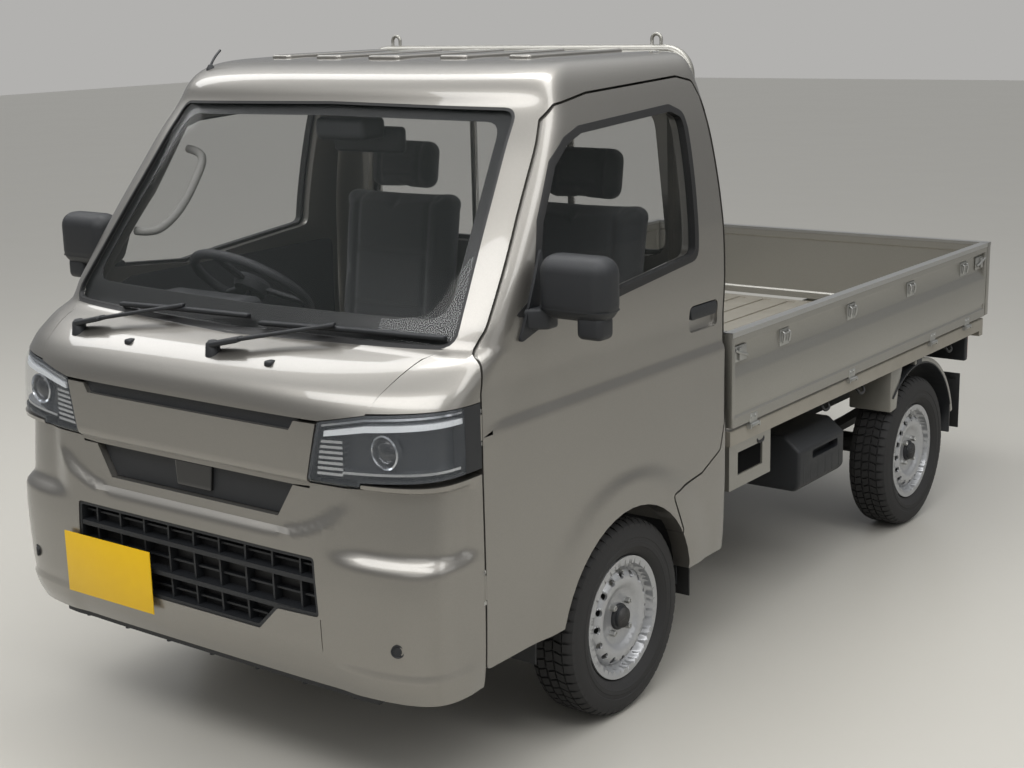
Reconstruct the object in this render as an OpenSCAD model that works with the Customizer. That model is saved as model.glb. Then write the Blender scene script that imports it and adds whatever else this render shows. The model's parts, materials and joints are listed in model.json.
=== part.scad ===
// Kei truck: a cab-over light truck with a drop-side bed, right-hand drive.
// Millimetres. +X is the truck's left, -Y its front, +Z up. The origin is on the
// ground, on the centre plane, midway between the front and the back.

/* [Overall] */
// Length from the number plate to the tailgate hinges
length = 3395; // [2950:1:4100]
// Width across the cab
width = 1475; // [1240:1:1780]
// Height of the cab roof
roof_z = 1718; // [1700:1:2060]
// Height of the hooks on top of the guard frame
hook_top_z = 1765; // [1750:1:2120]
// Distance between the axles
wheelbase = 1905; // [1600:1:2200]
// Front axle behind the front face
front_overhang = 863; // [850:1:900]

/* [Cab] */
// Length of the cab from the front face
cab_length = 1380; // [1340:1:1650]
// Thickness of the cab walls and the doors
wall = 45; // [35:1:55]
// Gap around the doors
door_gap = 6; // [5:0.5:9]
// Gap between fixed front panels
panel_gap = 3; // [2:0.5:5]
// Height of the lower edge of the doors
sill_z = 344; // [330:1:400]
// Height of the windscreen's lower edge
screen_foot_z = 1093; // [1080:1:1110]
// Height of the windscreen's upper edge
screen_head_z = 1612; // [1560:1:1630]
// Thickness of the window glass
glass_t = 6; // [4:0.5:8]
// Depth of the glass below the outer surface
glass_depth = 5; // [3:0.5:10]
// Top of the cab floor
cab_floor_z = 475; // [465:1:490]
// Top of the box under the seats
seat_box_z = 700; // [660:1:740]

/* [Bed] */
// Space between the cab and the bed
bed_gap = 24; // [15:1:60]
// Top of the bed floor
bed_floor_z = 650; // [630:1:700]
// Top of the gates
gate_top_z = 937; // [860:1:1060]
// Thickness of the gates
gate_t = 28; // [20:1:34]
// Thickness of the bed floor sheet with its ribs
bed_sheet_t = 14; // [10:1:20]

/* [Frame] */
// Spacing of the frame rails, centre to centre
rail_spacing = 680; // [600:1:720]
// Height of the frame rails
rail_h = 80; // [60:1:80]
// Width of the frame rails
rail_w = 50; // [40:1:60]

/* [Wheels] */
// Outer radius of the tyres
tyre_r = 266; // [240:1:272]
// Width of the tyres
tyre_w = 145; // [125:1:155]
// Radius of the rim at the bead seat
bead_r = 152; // [140:1:160]
// Radius of the rim's edge
rim_r = 166; // [156:1:170]
// Distance between the front wheels' centres
track_front = 1305; // [1250:1:1305]
// Distance between the rear wheels' centres
track_rear = 1290; // [1240:1:1300]
// Radius of the hub that the wheels turn on
hub_r = 27; // [22:1:32]
// Radius of the circle of wheel bolts
bolt_circle_r = 50; // [45:1:57]

/* [Hinges] */
// Radius of the gate hinge pins
gate_pin_r = 3; // [2.5:0.5:4]
// Radius of the door hinge pins
door_pin_r = 2.4; // [2:0.1:2.8]
// Running clearance around pins and hubs
fit = 0.3; // [0.2:0.05:0.4]

/* [Hidden] */
$fn = 48;

body_paint = "#8c877c";
black_trim = "#1d1e20";
steel = "#b9bcc0";
dark_steel = "#3a3b3d";
glass = "#5d6b70";

// Main stations along the truck
y_front = -length / 2;
y_rear = length / 2;
y_cab_rear = y_front + cab_length;
y_axle_f = y_front + front_overhang;
y_axle_r = y_axle_f + wheelbase;
half_w = width / 2;
axle_z = tyre_r;

// ---- Cab form ------------------------------------------------------------
// Rows of [height, setback of the nose, depth of the corner, inset of the side,
// roundness]. A section is a superellipse in front and straight sides behind.
glass_h = screen_head_z - screen_foot_z;
CAB_ROWS = [
    [300, 44, 218, 14, 5.5],
    [420, 14, 226, 4, 5.5],
    [640, 13, 227, 1, 5.3],
    [800, 17, 224, 1, 4.5],
    [930, 18, 223, 0, 4],
    [985, 25, 219, 0, 3.4],
    [1022, 50, 219, 0.5, 3.2],
    [1060, 114, 221, 1.5, 3.6],
    [screen_foot_z, 203, 224, 3, 4.6],
    [screen_foot_z + 0.25 * glass_h, 303, 224, 7, 5],
    [screen_foot_z + 0.5 * glass_h, 400, 220, 22, 5],
    [screen_foot_z + 0.7 * glass_h, 478, 203, 40, 4.8],
    [screen_foot_z + 0.85 * glass_h, 537, 176, 60, 4.6],
    [screen_head_z, 596, 146, 85, 4.2],
    [roof_z - 58, 618, 139, 105, 3.9],
    [roof_z - 26, 659, 129, 124, 3.6],
    [roof_z - 8, 730, 112, 152, 3.3],
    [roof_z, 850, 90, 215, 3]];
FRONT_STEPS = 12;
REAR_STEPS = 2;
rear_corner_r = 34;

// One horizontal section of the cab, moved inwards by inset
function cab_section(row, inset) =
    let (w = half_w - row[3] - inset,
         d = row[2] - inset,
         y0 = y_front + row[1] + row[2],
         yr = y_cab_rear - inset - row[3] * 0.12,
         e = 2 / row[4],
         r = max(rear_corner_r - inset, 4))
    concat(
        [for (i = [0:FRONT_STEPS]) let (t = 180 * i / FRONT_STEPS)
            [w * sign(cos(t)) * pow(abs(cos(t)), e), y0 - d * pow(sin(t), e)]],
        [for (i = [0:REAR_STEPS]) let (t = 180 - 90 * i / REAR_STEPS)
            [-w + r + r * cos(t), yr - r + r * sin(t)]],
        [for (i = [0:REAR_STEPS]) let (t = 90 - 90 * i / REAR_STEPS)
            [w - r + r * cos(t), yr - r + r * sin(t)]]);

// The inner surface of the roof comes down by the inset as well
function row_z(row, inset) =
    row[0] - inset * max(0, row[0] - screen_head_z) / (roof_z - screen_head_z)
    - (row[0] == CAB_ROWS[0][0] && inset > 0 ? 1 : 0);

module cab_form(inset = 0) {
    rings = [for (row = CAB_ROWS)
        [for (p = cab_section(row, inset)) [p[0], p[1], row_z(row, inset)]]];
    n = len(rings[0]);
    m = len(rings);
    polyhedron(
        points = [for (ring = rings) each ring],
        faces = concat(
            [[for (i = [n - 1:-1:0]) i]],
            [for (k = [0:m - 2], i = [0:n - 1]) let (j = (i + 1) % n)
                [k * n + i, k * n + j, (k + 1) * n + j, (k + 1) * n + i]],
            [[for (i = [0:n - 1]) (m - 1) * n + i]]),
        convexity = 8);
}

module cab_skin(outer = 0, inner = wall) {
    difference() {
        cab_form(outer);
        cab_form(inner);
    }
}

// Outline in Y and Z, extruded across the truck from x0 to x1
module side_prism(x0, x1) {
    translate([x0, 0, 0]) rotate([90, 0, 90]) linear_extrude(x1 - x0) children();
}

// Outline in X and Z, extruded along the truck from y0 to y1
module front_prism(y0, y1) {
    translate([0, y1, 0]) rotate([90, 0, 0]) linear_extrude(y1 - y0) children();
}

module both_sides() {
    children();
    mirror([1, 0, 0]) children();
}

module rounded(r) {
    offset(r, $fn = 16) offset(delta = -r) children();
}

// ---- Outlines of the cab's openings ---------------------------------------
arch_y = y_axle_f - 10;
arch_z = axle_z - 1;
arch_r = 312;
door_y0 = y_front + 246;
door_y1 = y_cab_rear - 26;

module arch_outline(r = arch_r) {
    translate([arch_y, arch_z]) circle(r, $fn = 48);
}

// Door from the front pillar to the rear pillar, cut away over the wheel
module door_outline() {
    difference() {
        rounded(16) polygon([
            [door_y0, sill_z], [door_y0, 1005], [door_y0 + 18, 1080],
            [y_front + 313, screen_foot_z + 48],
            [y_front + 473, screen_foot_z + 0.524 * glass_h],
            [y_front + 633, screen_head_z - 32], [y_front + 676, screen_head_z],
            [y_front + 813, screen_head_z + 20],
            [door_y1 - 104, screen_head_z + 38],
            [door_y1 - 34, screen_head_z + 24], [door_y1, screen_head_z - 60],
            [door_y1, 719], [door_y1 - 30, 622], [door_y1 - 130, 580],
            [door_y1 - 300, 560], [arch_y + 240, 430], [arch_y - 220, 420],
            [arch_y - 220, sill_z]]);
        arch_outline();
    }
}

module door_window_outline() {
    rounded(34) polygon([
        [y_front + 404, 1160], [y_front + 452, screen_foot_z + 87],
        [y_front + 518, screen_foot_z + 0.51 * glass_h],
        [y_front + 604, screen_head_z - 128], [y_front + 672, screen_head_z - 81],
        [y_front + 740, screen_head_z - 60], [door_y1 - 184, screen_head_z - 36],
        [door_y1 - 132, screen_head_z - 56], [door_y1 - 128, screen_head_z - 90],
        [door_y1 - 155, 1185], [door_y1 - 500, 1150], [y_front + 700, 1132]]);
}

module windscreen_outline() {
    rounded(38) polygon([
        [-664, screen_foot_z + 6], [0, screen_foot_z - 6], [664, screen_foot_z + 6],
        [576, screen_head_z - 2], [0, screen_head_z + 6], [-576, screen_head_z - 2]]);
}

module rear_window_outline() {
    rounded(60) polygon([[-560, 1150], [560, 1150], [520, 1560], [-520, 1560]]);
}

// Headlamp on the left, as seen from the front, out to the door
module lamp_outline() {
    polygon([[400, 803], [548, 806], [552, 822], [half_w + 20, 836],
        [half_w + 20, 990], [560, 976], [436, 950]]);
}

module hood_outline() {
    polygon([[-560, 976], [-436, 952], [436, 952], [560, 976], [606, 1080],
        [640, screen_foot_z + 4], [0, screen_foot_z - 10],
        [-640, screen_foot_z + 4], [-606, 1080]]);
}

module grille_panel_outline() {
    polygon([[-434, 944], [434, 944], [400, 792], [344, 789], [-344, 789],
        [-400, 792]]);
}

module nose_recess_outline() {
    polygon([[-344, 789], [344, 789], [292, 706], [-292, 706]]);
}

module lower_opening_outline() {
    rounded(12) polygon([[-416, 628], [416, 628], [424, 484], [292, 480],
        [226, 416], [-226, 416], [-292, 480], [-424, 484]]);
}

// What the doors and their gaps take out of the fixed cab. Above the lamps the
// doors wrap round the corner, so the pocket is deeper there.
door_in_x = half_w - 175;
pocket_x = half_w - wall - 20;
wrap_z = 985;

module door_pockets() {
    both_sides() {
        side_prism(door_in_x, half_w + 20) intersection() {
            door_gap_outline();
            translate([y_front, wrap_z]) square([cab_length, roof_z - wrap_z]);
        }
        side_prism(pocket_x, half_w + 20) door_gap_outline();
    }
}

module door_gap_outline() {
    offset(delta = door_gap) door_outline();
}

module front_zone(setback) {
    translate([-half_w - 50, y_front - 50, 200])
        cube([width + 100, setback + 50, 1000]);
}

front_zone_depth = door_y0 - door_gap - y_front;

// Wheel houses in the cab floor and in the skirts
module wheel_house(r, x0, x1) {
    both_sides() side_prism(x0, x1) arch_outline(r);
}

// ---- Cab -------------------------------------------------------------------
house_r = 336;
bulkhead_t = 14;

module cab_shell() {
    color(body_paint) difference() {
        cab_skin();
        door_pockets();
        both_sides() side_prism(half_w - 120, half_w + 20) arch_outline();
        front_prism(y_front - 60, y_front + 760) windscreen_outline();
        front_prism(y_cab_rear - 120, y_cab_rear + 20) rear_window_outline();
        intersection() {
            front_zone(front_zone_depth);
            front_prism(y_front - 60, y_front + 400)
                offset(delta = panel_gap) {
                    hood_outline();
                    grille_panel_outline();
                    both_sides_2d() lamp_outline();
                    translate([-half_w - 40, 250]) square([width + 80, 556]);
                    translate([-440, 780]) square([880, 175]);
                    both_sides_2d() translate([540, 700]) square([260, 120]);
                }
        }
        // the skirts behind the wheels end above the road, the rest on the floor
        translate([-half_w - 20, y_front, 200]) cube([width + 40, cab_length + 20, 118]);
        translate([-half_w + 100, y_front - 20, 200])
            cube([width - 200, cab_length + 40, cab_floor_z - 220]);
        translate([-half_w - 20, y_front - 20, 200])
            cube([width + 40, arch_y - y_front + 20, cab_floor_z - 200]);
    }
}

module both_sides_2d() {
    children();
    mirror([1, 0]) children();
}

// Floor, box under the seats, front bulkhead and wheel houses
module cab_floor() {
    seat_y0 = y_axle_f - 90;
    color(body_paint) difference() {
        union() {
            intersection() {
                cab_skin(wall + fit, wall + bulkhead_t);
                translate([-half_w, y_front, cab_floor_z - 20])
                    cube([width, front_zone_depth, screen_foot_z - cab_floor_z + 4]);
            }
            intersection() {
                cab_form(wall + fit);
                union() {
                    translate([-half_w, y_front, cab_floor_z - 20])
                        cube([width, cab_length, 20]);
                    translate([-half_w, seat_y0, cab_floor_z - 20])
                        cube([width, cab_length, seat_box_z - cab_floor_z + 20]);
                    wheel_house(house_r + 8, 392, half_w);
                }
                translate([-half_w, y_front, cab_floor_z - 20])
                    cube([width, cab_length, 400]);
            }
        }
        wheel_house(house_r, 400, half_w);
        translate([-380, seat_y0 + 20, 200])
            cube([760, y_cab_rear - wall - 20 - seat_y0 - 20, seat_box_z - 220]);
        door_pockets();
        both_sides() translate([pocket_x, door_y0 - door_gap, 200])
            cube([80, door_y1 + 2 * door_gap - door_y0, 900]);
    }
}

module front_panel(inner = wall) {
    intersection() {
        cab_skin(0, inner);
        front_zone(front_zone_depth);
        front_prism(y_front - 60, y_front + 400) children();
    }
}

module hood_panel() {
    color(body_paint) difference() {
        front_panel() hood_outline();
        wiper_shafts(wiper_shaft_r + fit, 160);
    }
}

module grille_panel() {
    color(body_paint) front_panel() difference() {
        grille_panel_outline();
        offset(delta = panel_gap) both_sides_2d() lamp_outline();
    }
}

module front_bumper() {
    color(body_paint) difference() {
        front_panel() difference() {
            translate([-half_w - 40, 302]) square([width + 80, 502 - panel_gap]);
            lower_opening_outline();
            offset(delta = panel_gap) grille_panel_outline();
            offset(delta = panel_gap) both_sides_2d() lamp_outline();
            offset(delta = 0.01) nose_recess_outline();
        }
        hinge_pockets();
    }
}

// Dark insert in the bumper: the bars of the intake and the nose recess
module lower_grille() {
    color(black_trim) {
        intersection() {
            translate([0, 0, 282]) linear_extrude(20) difference() {
                polygon(cab_section(CAB_ROWS[0], 10));
                polygon(cab_section(CAB_ROWS[0], 40));
            }
            translate([-560, y_front, 200]) cube([1120, 200, 200]);
        }
        intersection() {
            cab_skin(16, wall);
            front_prism(y_front - 60, y_front + 200) {
                difference() {
                    lower_opening_outline();
                    for (x = [-360:90:360]) for (z = [432, 506, 580])
                        translate([x - 36, z]) square([72, 52]);
                }
                nose_recess_outline();
            }
        }
    }
}

module headlamps() {
    color("#cfd6da") difference() {
        front_panel() both_sides_2d() lamp_outline();
        hinge_pockets();
    }
}

module windscreen() {
    color(glass) intersection() {
        cab_skin(glass_depth, glass_depth + glass_t / sin(53));
        front_prism(y_front - 60, y_front + 760) windscreen_outline();
    }
}

module rear_window() {
    color(glass) intersection() {
        cab_skin(glass_depth, glass_depth + glass_t);
        front_prism(y_cab_rear - 120, y_cab_rear + 20) rear_window_outline();
    }
}

// ---- Inside the cab ----------------------------------------------------------
dash_y1 = y_front + 500;
dash_z0 = 790;
dash_z1 = 1075;
seat_x = 330;
seat_w = 500;
seat_h = 125;
seat_lean = 8;
wheel_x = -330;
steer_y = y_front + 590;
steer_z = 1105;
steer_tilt = 38;
steer_r = 185;
column_r = 22;
column_box = 80;

module dashboard() {
    color(black_trim) difference() {
        intersection() {
            cab_form(wall + bulkhead_t);
            side_prism(-half_w + wall + 28, half_w - wall - 28)
                rounded(30) polygon([
                    [y_front, dash_z0], [dash_y1 - 60, dash_z0],
                    [dash_y1, dash_z0 + 90], [dash_y1 - 10, dash_z1 - 60],
                    [dash_y1 - 80, dash_z1], [y_front, dash_z1]]);
        }
        at_steering_wheel() translate([-column_box / 2 - fit, -column_box / 2 - fit, -600])
            cube([column_box + 2 * fit, column_box + 2 * fit, 620]);
    }
}

module one_seat() {
    y0 = y_axle_f - 85;
    back_y = y_cab_rear - wall - 200;
    translate([seat_x - seat_w / 2, y0, seat_box_z])
        rounded_block([seat_w, back_y + 60 - y0, seat_h], 40);
    translate([seat_x, back_y, seat_box_z + seat_h - 30]) rotate([-seat_lean, 0, 0]) {
        side_prism(-seat_w / 2 + 15, seat_w / 2 - 15) rounded(40) square([100, 540]);
        side_prism(-130, 130) translate([10, 500]) rounded(34) square([80, 180]);
    }
}

module rounded_block(size, r) {
    intersection() {
        linear_extrude(size[2]) rounded(r) square([size[0], size[1]]);
        side_prism(0, size[0]) rounded(r) square([size[1], size[2]]);
    }
}

module seats() {
    color("#2c2d2f") both_sides() one_seat();
}

module at_steering_wheel() {
    translate([wheel_x, steer_y, steer_z]) rotate([-steer_tilt, 0, 0]) children();
}

module steering_column() {
    color(black_trim) {
        at_steering_wheel() translate([0, 0, -420]) cylinder(h = 380, r = column_r);
        at_steering_wheel() translate([0, 0, -60]) cylinder(h = 62, r = 8);
        at_steering_wheel() translate([-column_box / 2, -column_box / 2, -300])
            cube([column_box, column_box, 150]);
    }
}

module steering_wheel() {
    color(black_trim) at_steering_wheel() {
        rotate_extrude($fn = 64) translate([steer_r - 14, 6]) circle(14, $fn = 24);
        difference() {
            translate([0, 0, -14]) cylinder(h = 40, r = 55);
            translate([0, 0, -20]) cylinder(h = 30, r = 8 + fit);
        }
        for (a = [0, 120, 240]) rotate(a + 90)
            translate([50, -16, -2]) cube([steer_r - 60, 32, 14]);
    }
}

// ---- Wipers ----------------------------------------------------------------
module bar_between(a, b, r) {
    hull() {
        translate(a) sphere(r, $fn = 12);
        translate(b) sphere(r, $fn = 12);
    }
}

// A point just in front of the cab surface at the centre of the glass foot
function nose_y(x, row) = y_front + row[1] + row[2]
    - row[2] * pow(1 - pow(abs(x) / (half_w - row[3]), row[4]), 1 / row[4]);

WIPER_X = [-470, 95];
wiper_shaft_r = 12;
cowl_row = CAB_ROWS[7];

function wiper_base(x) = [x, nose_y(x, cowl_row) - 3, cowl_row[0] + 6];

// Shafts of the two wipers, square to the cowl
module wiper_shafts(r, h) {
    for (x = WIPER_X) translate(wiper_base(x)) rotate([55, 0, 0])
        translate([0, 0, -h / 2]) cylinder(h = h / 2 + 22, r = r);
}

module wipers() {
    low = CAB_ROWS[8];
    color(black_trim) wiper_shafts(wiper_shaft_r, 40);
    color(black_trim) for (x = WIPER_X) {
        base = wiper_base(x);
        tip = [x + 330, nose_y(x + 330, low) - 14, low[0] + 24];
        bar_between(base + [0, -16, 12], tip, 7);
        bar_between(tip + [-250, -10, -3], tip + [190, 14, 7], 6);
    }
}

// ---- Doors -----------------------------------------------------------------
door_pin_x = half_w - 3.5;
door_pin_y = door_y0 - 5;
door_hinge_z = [520, 900];
hinge_len = 60;

module door_hinge_sleeves() {
    for (z = door_hinge_z) difference() {
        union() {
            translate([door_pin_x, door_pin_y, z]) cylinder(h = hinge_len, r = 4.6);
            translate([door_pin_x - 4.6, door_pin_y, z]) cube([6, 10, hinge_len]);
        }
        translate([door_pin_x, door_pin_y, z - 1])
            cylinder(h = hinge_len + 2, r = door_pin_r + fit);
    }
}

// Room for the door hinges in the panels ahead of the doors
module hinge_pockets() {
    both_sides() for (z = door_hinge_z)
        translate([door_pin_x - 12, door_y0 - 12 - fit, z - 14])
            cube([40, 40, hinge_len + 28]);
}

module one_door() {
    difference() {
        intersection() {
            cab_form(0);
            side_prism(door_in_x, half_w + 20) door_outline();
            translate([door_in_x, door_y0 + 4, 0]) cube([300, cab_length, roof_z]);
        }
        cab_form(wall);
        translate([0, wall, 0]) cab_form(wall);
        side_prism(door_in_x - 25, half_w + 20) door_window_outline();
    }
    door_hinge_sleeves();
}

module door_left() {
    color(body_paint) one_door();
}

module door_right() {
    color(body_paint) mirror([1, 0, 0]) one_door();
}

module one_door_glass() {
    intersection() {
        cab_skin(glass_depth + 6, glass_depth + 6 + glass_t);
        side_prism(half_w - 200, half_w + 20) door_window_outline();
    }
}

module door_glass_left() {
    color(glass) one_door_glass();
}

module door_glass_right() {
    color(glass) mirror([1, 0, 0]) one_door_glass();
}

mirror_x = half_w + 113;
mirror_y = y_front + 470;
mirror_z = 1215;

// Mirror head, its arm and the triangular foot on the door
module one_mirror() {
    difference() {
        union() {
            translate([mirror_x - 95, mirror_y - 45, mirror_z - 68])
                rounded_block([190, 95, 150], 30);
            translate([mirror_x + 8, mirror_y - 30, mirror_z - 108])
                rounded_block([70, 60, 60], 18);
            hull() {
                translate([mirror_x - 90, mirror_y - 20, mirror_z - 60]) cube([20, 40, 30]);
                translate([half_w - 36, mirror_y - 62, mirror_z - 96]) cube([20, 60, 30]);
            }
            intersection() {
                cab_form(-9);
                side_prism(door_in_x, half_w + 30) rounded(8) polygon([
                    [y_front + 388, 1094], [y_front + 470, 1118],
                    [y_front + 470, 1170], [y_front + 505, screen_foot_z + 0.45 * glass_h]]);
            }
        }
        cab_form(0);
    }
}

module mirror_left() {
    color(black_trim) one_mirror();
}

module mirror_right() {
    color(black_trim) mirror([1, 0, 0]) one_mirror();
}

// ---- Bed -------------------------------------------------------------------
gate_hinge_x = half_w - 3.5;
gate_hinge_z = bed_floor_z - 2;
barrel_r = 6;
gate_out_x = gate_hinge_x - 3;
gate_z0 = bed_floor_z + 10;
bed_y0 = y_cab_rear + bed_gap;
tail_hinge_y = y_rear - barrel_r;
tail_out_y = tail_hinge_y - 3;
gate_y0 = bed_y0;
gate_y1 = tail_out_y - gate_t - 6;
bed_y1 = tail_out_y - gate_t - 3;
sill_x = gate_out_x - 6;
sill_h = 44;
rail_z1 = cab_floor_z - 20;
rail_z0 = rail_z1 - rail_h;

gate_len = gate_y1 - gate_y0;
side_hinge_y = [for (f = [0.065, 0.405, 0.745, 0.91]) gate_y0 + f * gate_len];
tail_hinge_x = [-0.66 * half_w, 0, 0.66 * half_w];
barrel_len = 44;

// Sheet gate with a deep top rail, lying along X from 0 to len, face at y = 0,
// its thickness towards +Y
module gate_panel(len) {
    h = gate_top_z - gate_z0;
    difference() {
        cube([len, gate_t, h]);
        translate([28, -1, 26]) cube([len - 56, 5, h - 145]);
        translate([28, -1, h - 108]) cube([len - 56, 5, 62]);
        translate([16, gate_t - 5, 14]) cube([len - 32, 6, h - 60]);
    }
}

// Barrel of a gate hinge: its axis along X at the origin, its leaf up to the gate
module gate_barrel() {
    difference() {
        union() {
            rotate([0, 90, 0]) cylinder(h = barrel_len, r = barrel_r, center = true);
            translate([-barrel_len / 2, 2.2, 0])
                cube([barrel_len, 3.8, gate_z0 - gate_hinge_z + 20]);
        }
        rotate([0, 90, 0])
            cylinder(h = barrel_len + 2, r = gate_pin_r + fit, center = true);
    }
}

// Pin of a gate hinge with the two ears that hold it to the bed
module gate_pin(reach) {
    rotate([0, 90, 0]) cylinder(h = barrel_len + 14, r = gate_pin_r, center = true);
    for (s = [-1, 1]) translate([s * (barrel_len / 2 + 4.5) - 3, -4.5, -8.5])
        cube([6, 4.5 + reach, 13]);
}

module gate_left() {
    color(body_paint) {
        translate([gate_out_x, gate_y0, gate_z0]) rotate(90) gate_panel(gate_len);
        for (y = side_hinge_y) translate([gate_hinge_x, y, gate_hinge_z])
            rotate(90) gate_barrel();
    }
}

module gate_right() {
    mirror([1, 0, 0]) gate_left();
}

module tailgate() {
    color(body_paint) {
        translate([gate_out_x, tail_out_y, gate_z0]) rotate(180)
            gate_panel(2 * gate_out_x);
        for (x = tail_hinge_x) translate([x, tail_hinge_y, gate_hinge_z])
            rotate(180) gate_barrel();
    }
}

// Pins and ears of the gate and door hinges
module hinge_pins() {
    color(dark_steel) {
        both_sides() {
            for (y = side_hinge_y) translate([gate_hinge_x, y, gate_hinge_z])
                rotate(90) gate_pin(gate_hinge_x - sill_x);
            for (z = door_hinge_z) {
                translate([door_pin_x, door_pin_y, z - 12])
                    cylinder(h = hinge_len + 24, r = door_pin_r);
                for (e = [z - 12, z + hinge_len + 4])
                    translate([door_pin_x - 3, door_y0 - 12, e]) cube([5.5, 10, 8]);
            }
        }
        for (x = tail_hinge_x) translate([x, tail_hinge_y, gate_hinge_z])
            rotate(180) gate_pin(tail_hinge_y - bed_y1);
    }
}

module bed_floor() {
    stringer_x = rail_spacing / 2;
    color(body_paint) difference() {
        union() {
            translate([-sill_x + 2, bed_y0, bed_floor_z - bed_sheet_t])
                cube([2 * sill_x - 4, bed_y1 - bed_y0, bed_sheet_t]);
            both_sides() translate([sill_x - 26, bed_y0, bed_floor_z - sill_h])
                cube([26, bed_y1 - bed_y0, sill_h - 2]);
            translate([-sill_x, bed_y1 - 34, bed_floor_z - sill_h - 20])
                cube([2 * sill_x, 34, sill_h + 18]);
            for (i = [0:5]) translate([-sill_x + 10,
                    bed_y0 + 60 + i * (bed_y1 - bed_y0 - 160) / 5, bed_floor_z - sill_h])
                cube([2 * sill_x - 20, 40, sill_h - 5]);
            both_sides() translate([stringer_x - 24, bed_y0, rail_z1])
                cube([48, bed_y1 - bed_y0, bed_floor_z - rail_z1 - 10]);
        }
        for (i = [0:11]) translate([-sill_x + 90 + i * (2 * sill_x - 220) / 11,
                bed_y0 + 40, bed_floor_z - 4])
            cube([40, bed_y1 - bed_y0 - 80, 10]);
    }
}

board_t = 26;
post_x = 500;
frame_r = 16;
frame_bar_z = hook_top_z - 50;

// Front wall of the bed
module front_board() {
    color(body_paint) difference() {
        translate([-gate_out_x + gate_t + 5.5, bed_y0, bed_floor_z])
            cube([2 * (gate_out_x - gate_t - 5.5), board_t, gate_top_z - bed_floor_z]);
        for (i = [-2:2]) translate([i * 250 - 100, bed_y0 + board_t - 5, bed_floor_z + 50])
            cube([200, 10, 180]);
    }
}

// Guard frame behind the cab: a bent tube with two hooks and two cross bars
module guard_frame() {
    bend_r = 70;
    y = bed_y0 + board_t / 2;
    color(body_paint) {
        both_sides() {
            translate([post_x + 80, y, gate_top_z])
                cylinder(h = frame_bar_z - bend_r - gate_top_z, r = frame_r);
            translate([post_x + 80 - bend_r, y, frame_bar_z - bend_r]) rotate([90, 0, 0])
                rotate_extrude(angle = 90) translate([bend_r, 0]) circle(frame_r);
            translate([180, y, gate_top_z])
                cylinder(h = frame_bar_z - gate_top_z - frame_r / 2, r = 11);
            translate([post_x - 24, y, frame_bar_z + 12]) hook();
        }
        translate([-post_x - 80 + bend_r, y, frame_bar_z]) rotate([0, 90, 0])
            cylinder(h = 2 * (post_x + 80 - bend_r), r = frame_r);
        translate([-post_x - 80, y, gate_top_z + 180]) rotate([0, 90, 0])
            cylinder(h = 2 * (post_x + 80), r = 11);
    }
}

// Rope hook: an upright loop of round bar
module hook() {
    top = hook_top_z - frame_bar_z - 12 - 5;
    for (s = [-1, 1]) translate([s * 15, 0, 0]) cylinder(h = top - 15, r = 5);
    translate([0, 0, top - 15]) rotate([90, 0, 0])
        rotate_extrude(angle = 180) translate([15, 0]) circle(5, $fn = 24);
}

// Window-shaped stays under the front corners of the bed
module side_brackets() {
    color(body_paint) both_sides() {
        difference() {
            translate([sill_x - 12, bed_y0 + 6, 470])
                cube([6, 250, bed_floor_z - sill_h - 470]);
            translate([sill_x - 20, bed_y0 + 56, 508]) cube([30, 150, 68]);
        }
        translate([sill_x - 190, bed_y0 + 6, 470])
            cube([184, 6, bed_floor_z - sill_h - 470]);
    }
}

// ---- Under the truck ---------------------------------------------------------
rail_x = rail_spacing / 2;
rail_y0 = y_front + 90;
rail_y1 = y_rear - 60;

module chassis_frame() {
    color(dark_steel) {
        both_sides() translate([rail_x - rail_w / 2, rail_y0, rail_z0])
            cube([rail_w, rail_y1 - rail_y0, rail_h]);
        for (y = [rail_y0, y_axle_f - 100, y_cab_rear + 190, y_axle_r - 420,
                y_axle_r + 380, rail_y1 - 50])
            translate([-rail_x, y, rail_z0 + 12]) cube([2 * rail_x, 50, rail_h - 24]);
        tow_eye();
    }
}

tow_eye_r = 14;
tow_eye_t = 12;
tow_eye_y = y_front + 106;
tow_eye_z = 352;

// Towing eye under the front end of the right-hand rail
module tow_eye() {
    translate([-rail_x - tow_eye_t / 2, 0, 0]) side_prism(0, tow_eye_t) difference() {
        hull() {
            translate([tow_eye_y, tow_eye_z]) circle(tow_eye_r + 10);
            translate([tow_eye_y, rail_z0]) square([60, 2]);
        }
        translate([tow_eye_y, tow_eye_z]) circle(tow_eye_r);
    }
}

module engine_block() {
    color(dark_steel) {
        translate([-190, y_axle_f - 40, 300]) cube([380, 470, 340]);
        translate([-90, y_axle_f + 430, 290]) cube([180, 260, 155]);
        // mounts on the frame rails
        translate([rail_w / 2 - rail_x, y_axle_f - 20, 395])
            cube([2 * rail_x - rail_w, 60, 30]);
    }
}

module propeller_shaft() {
    y0 = y_axle_f + 692.2;
    y1 = y_axle_r - diff_r - fit;
    z0 = 355;
    z1 = axle_z;
    color(dark_steel) translate([0, y0, z0])
        rotate([-90 - atan2(z0 - z1, y1 - y0), 0, 0])
            cylinder(h = norm([y1 - y0, z1 - z0]), r = 22);
}

module exhaust() {
    x = -rail_x + rail_w / 2 + 84;
    color(steel) translate([x, 0, 0]) {
        translate([-20, y_axle_f + 300, 316]) cube([-190 - x + 20, 40, 40]);
        translate([0, y_axle_f + 300, 336]) rotate([-90, 0, 0])
            cylinder(h = y_axle_r - y_axle_f - 920, r = 19);
        translate([0, y_axle_r - 620, 304]) rotate([-90, 0, 0])
            cylinder(h = 300, r = 66);
        translate([0, y_axle_r - 320, 345]) rotate([-90, 0, 0])
            cylinder(h = y_rear - y_axle_r + 200, r = 17);
    }
}

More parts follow.
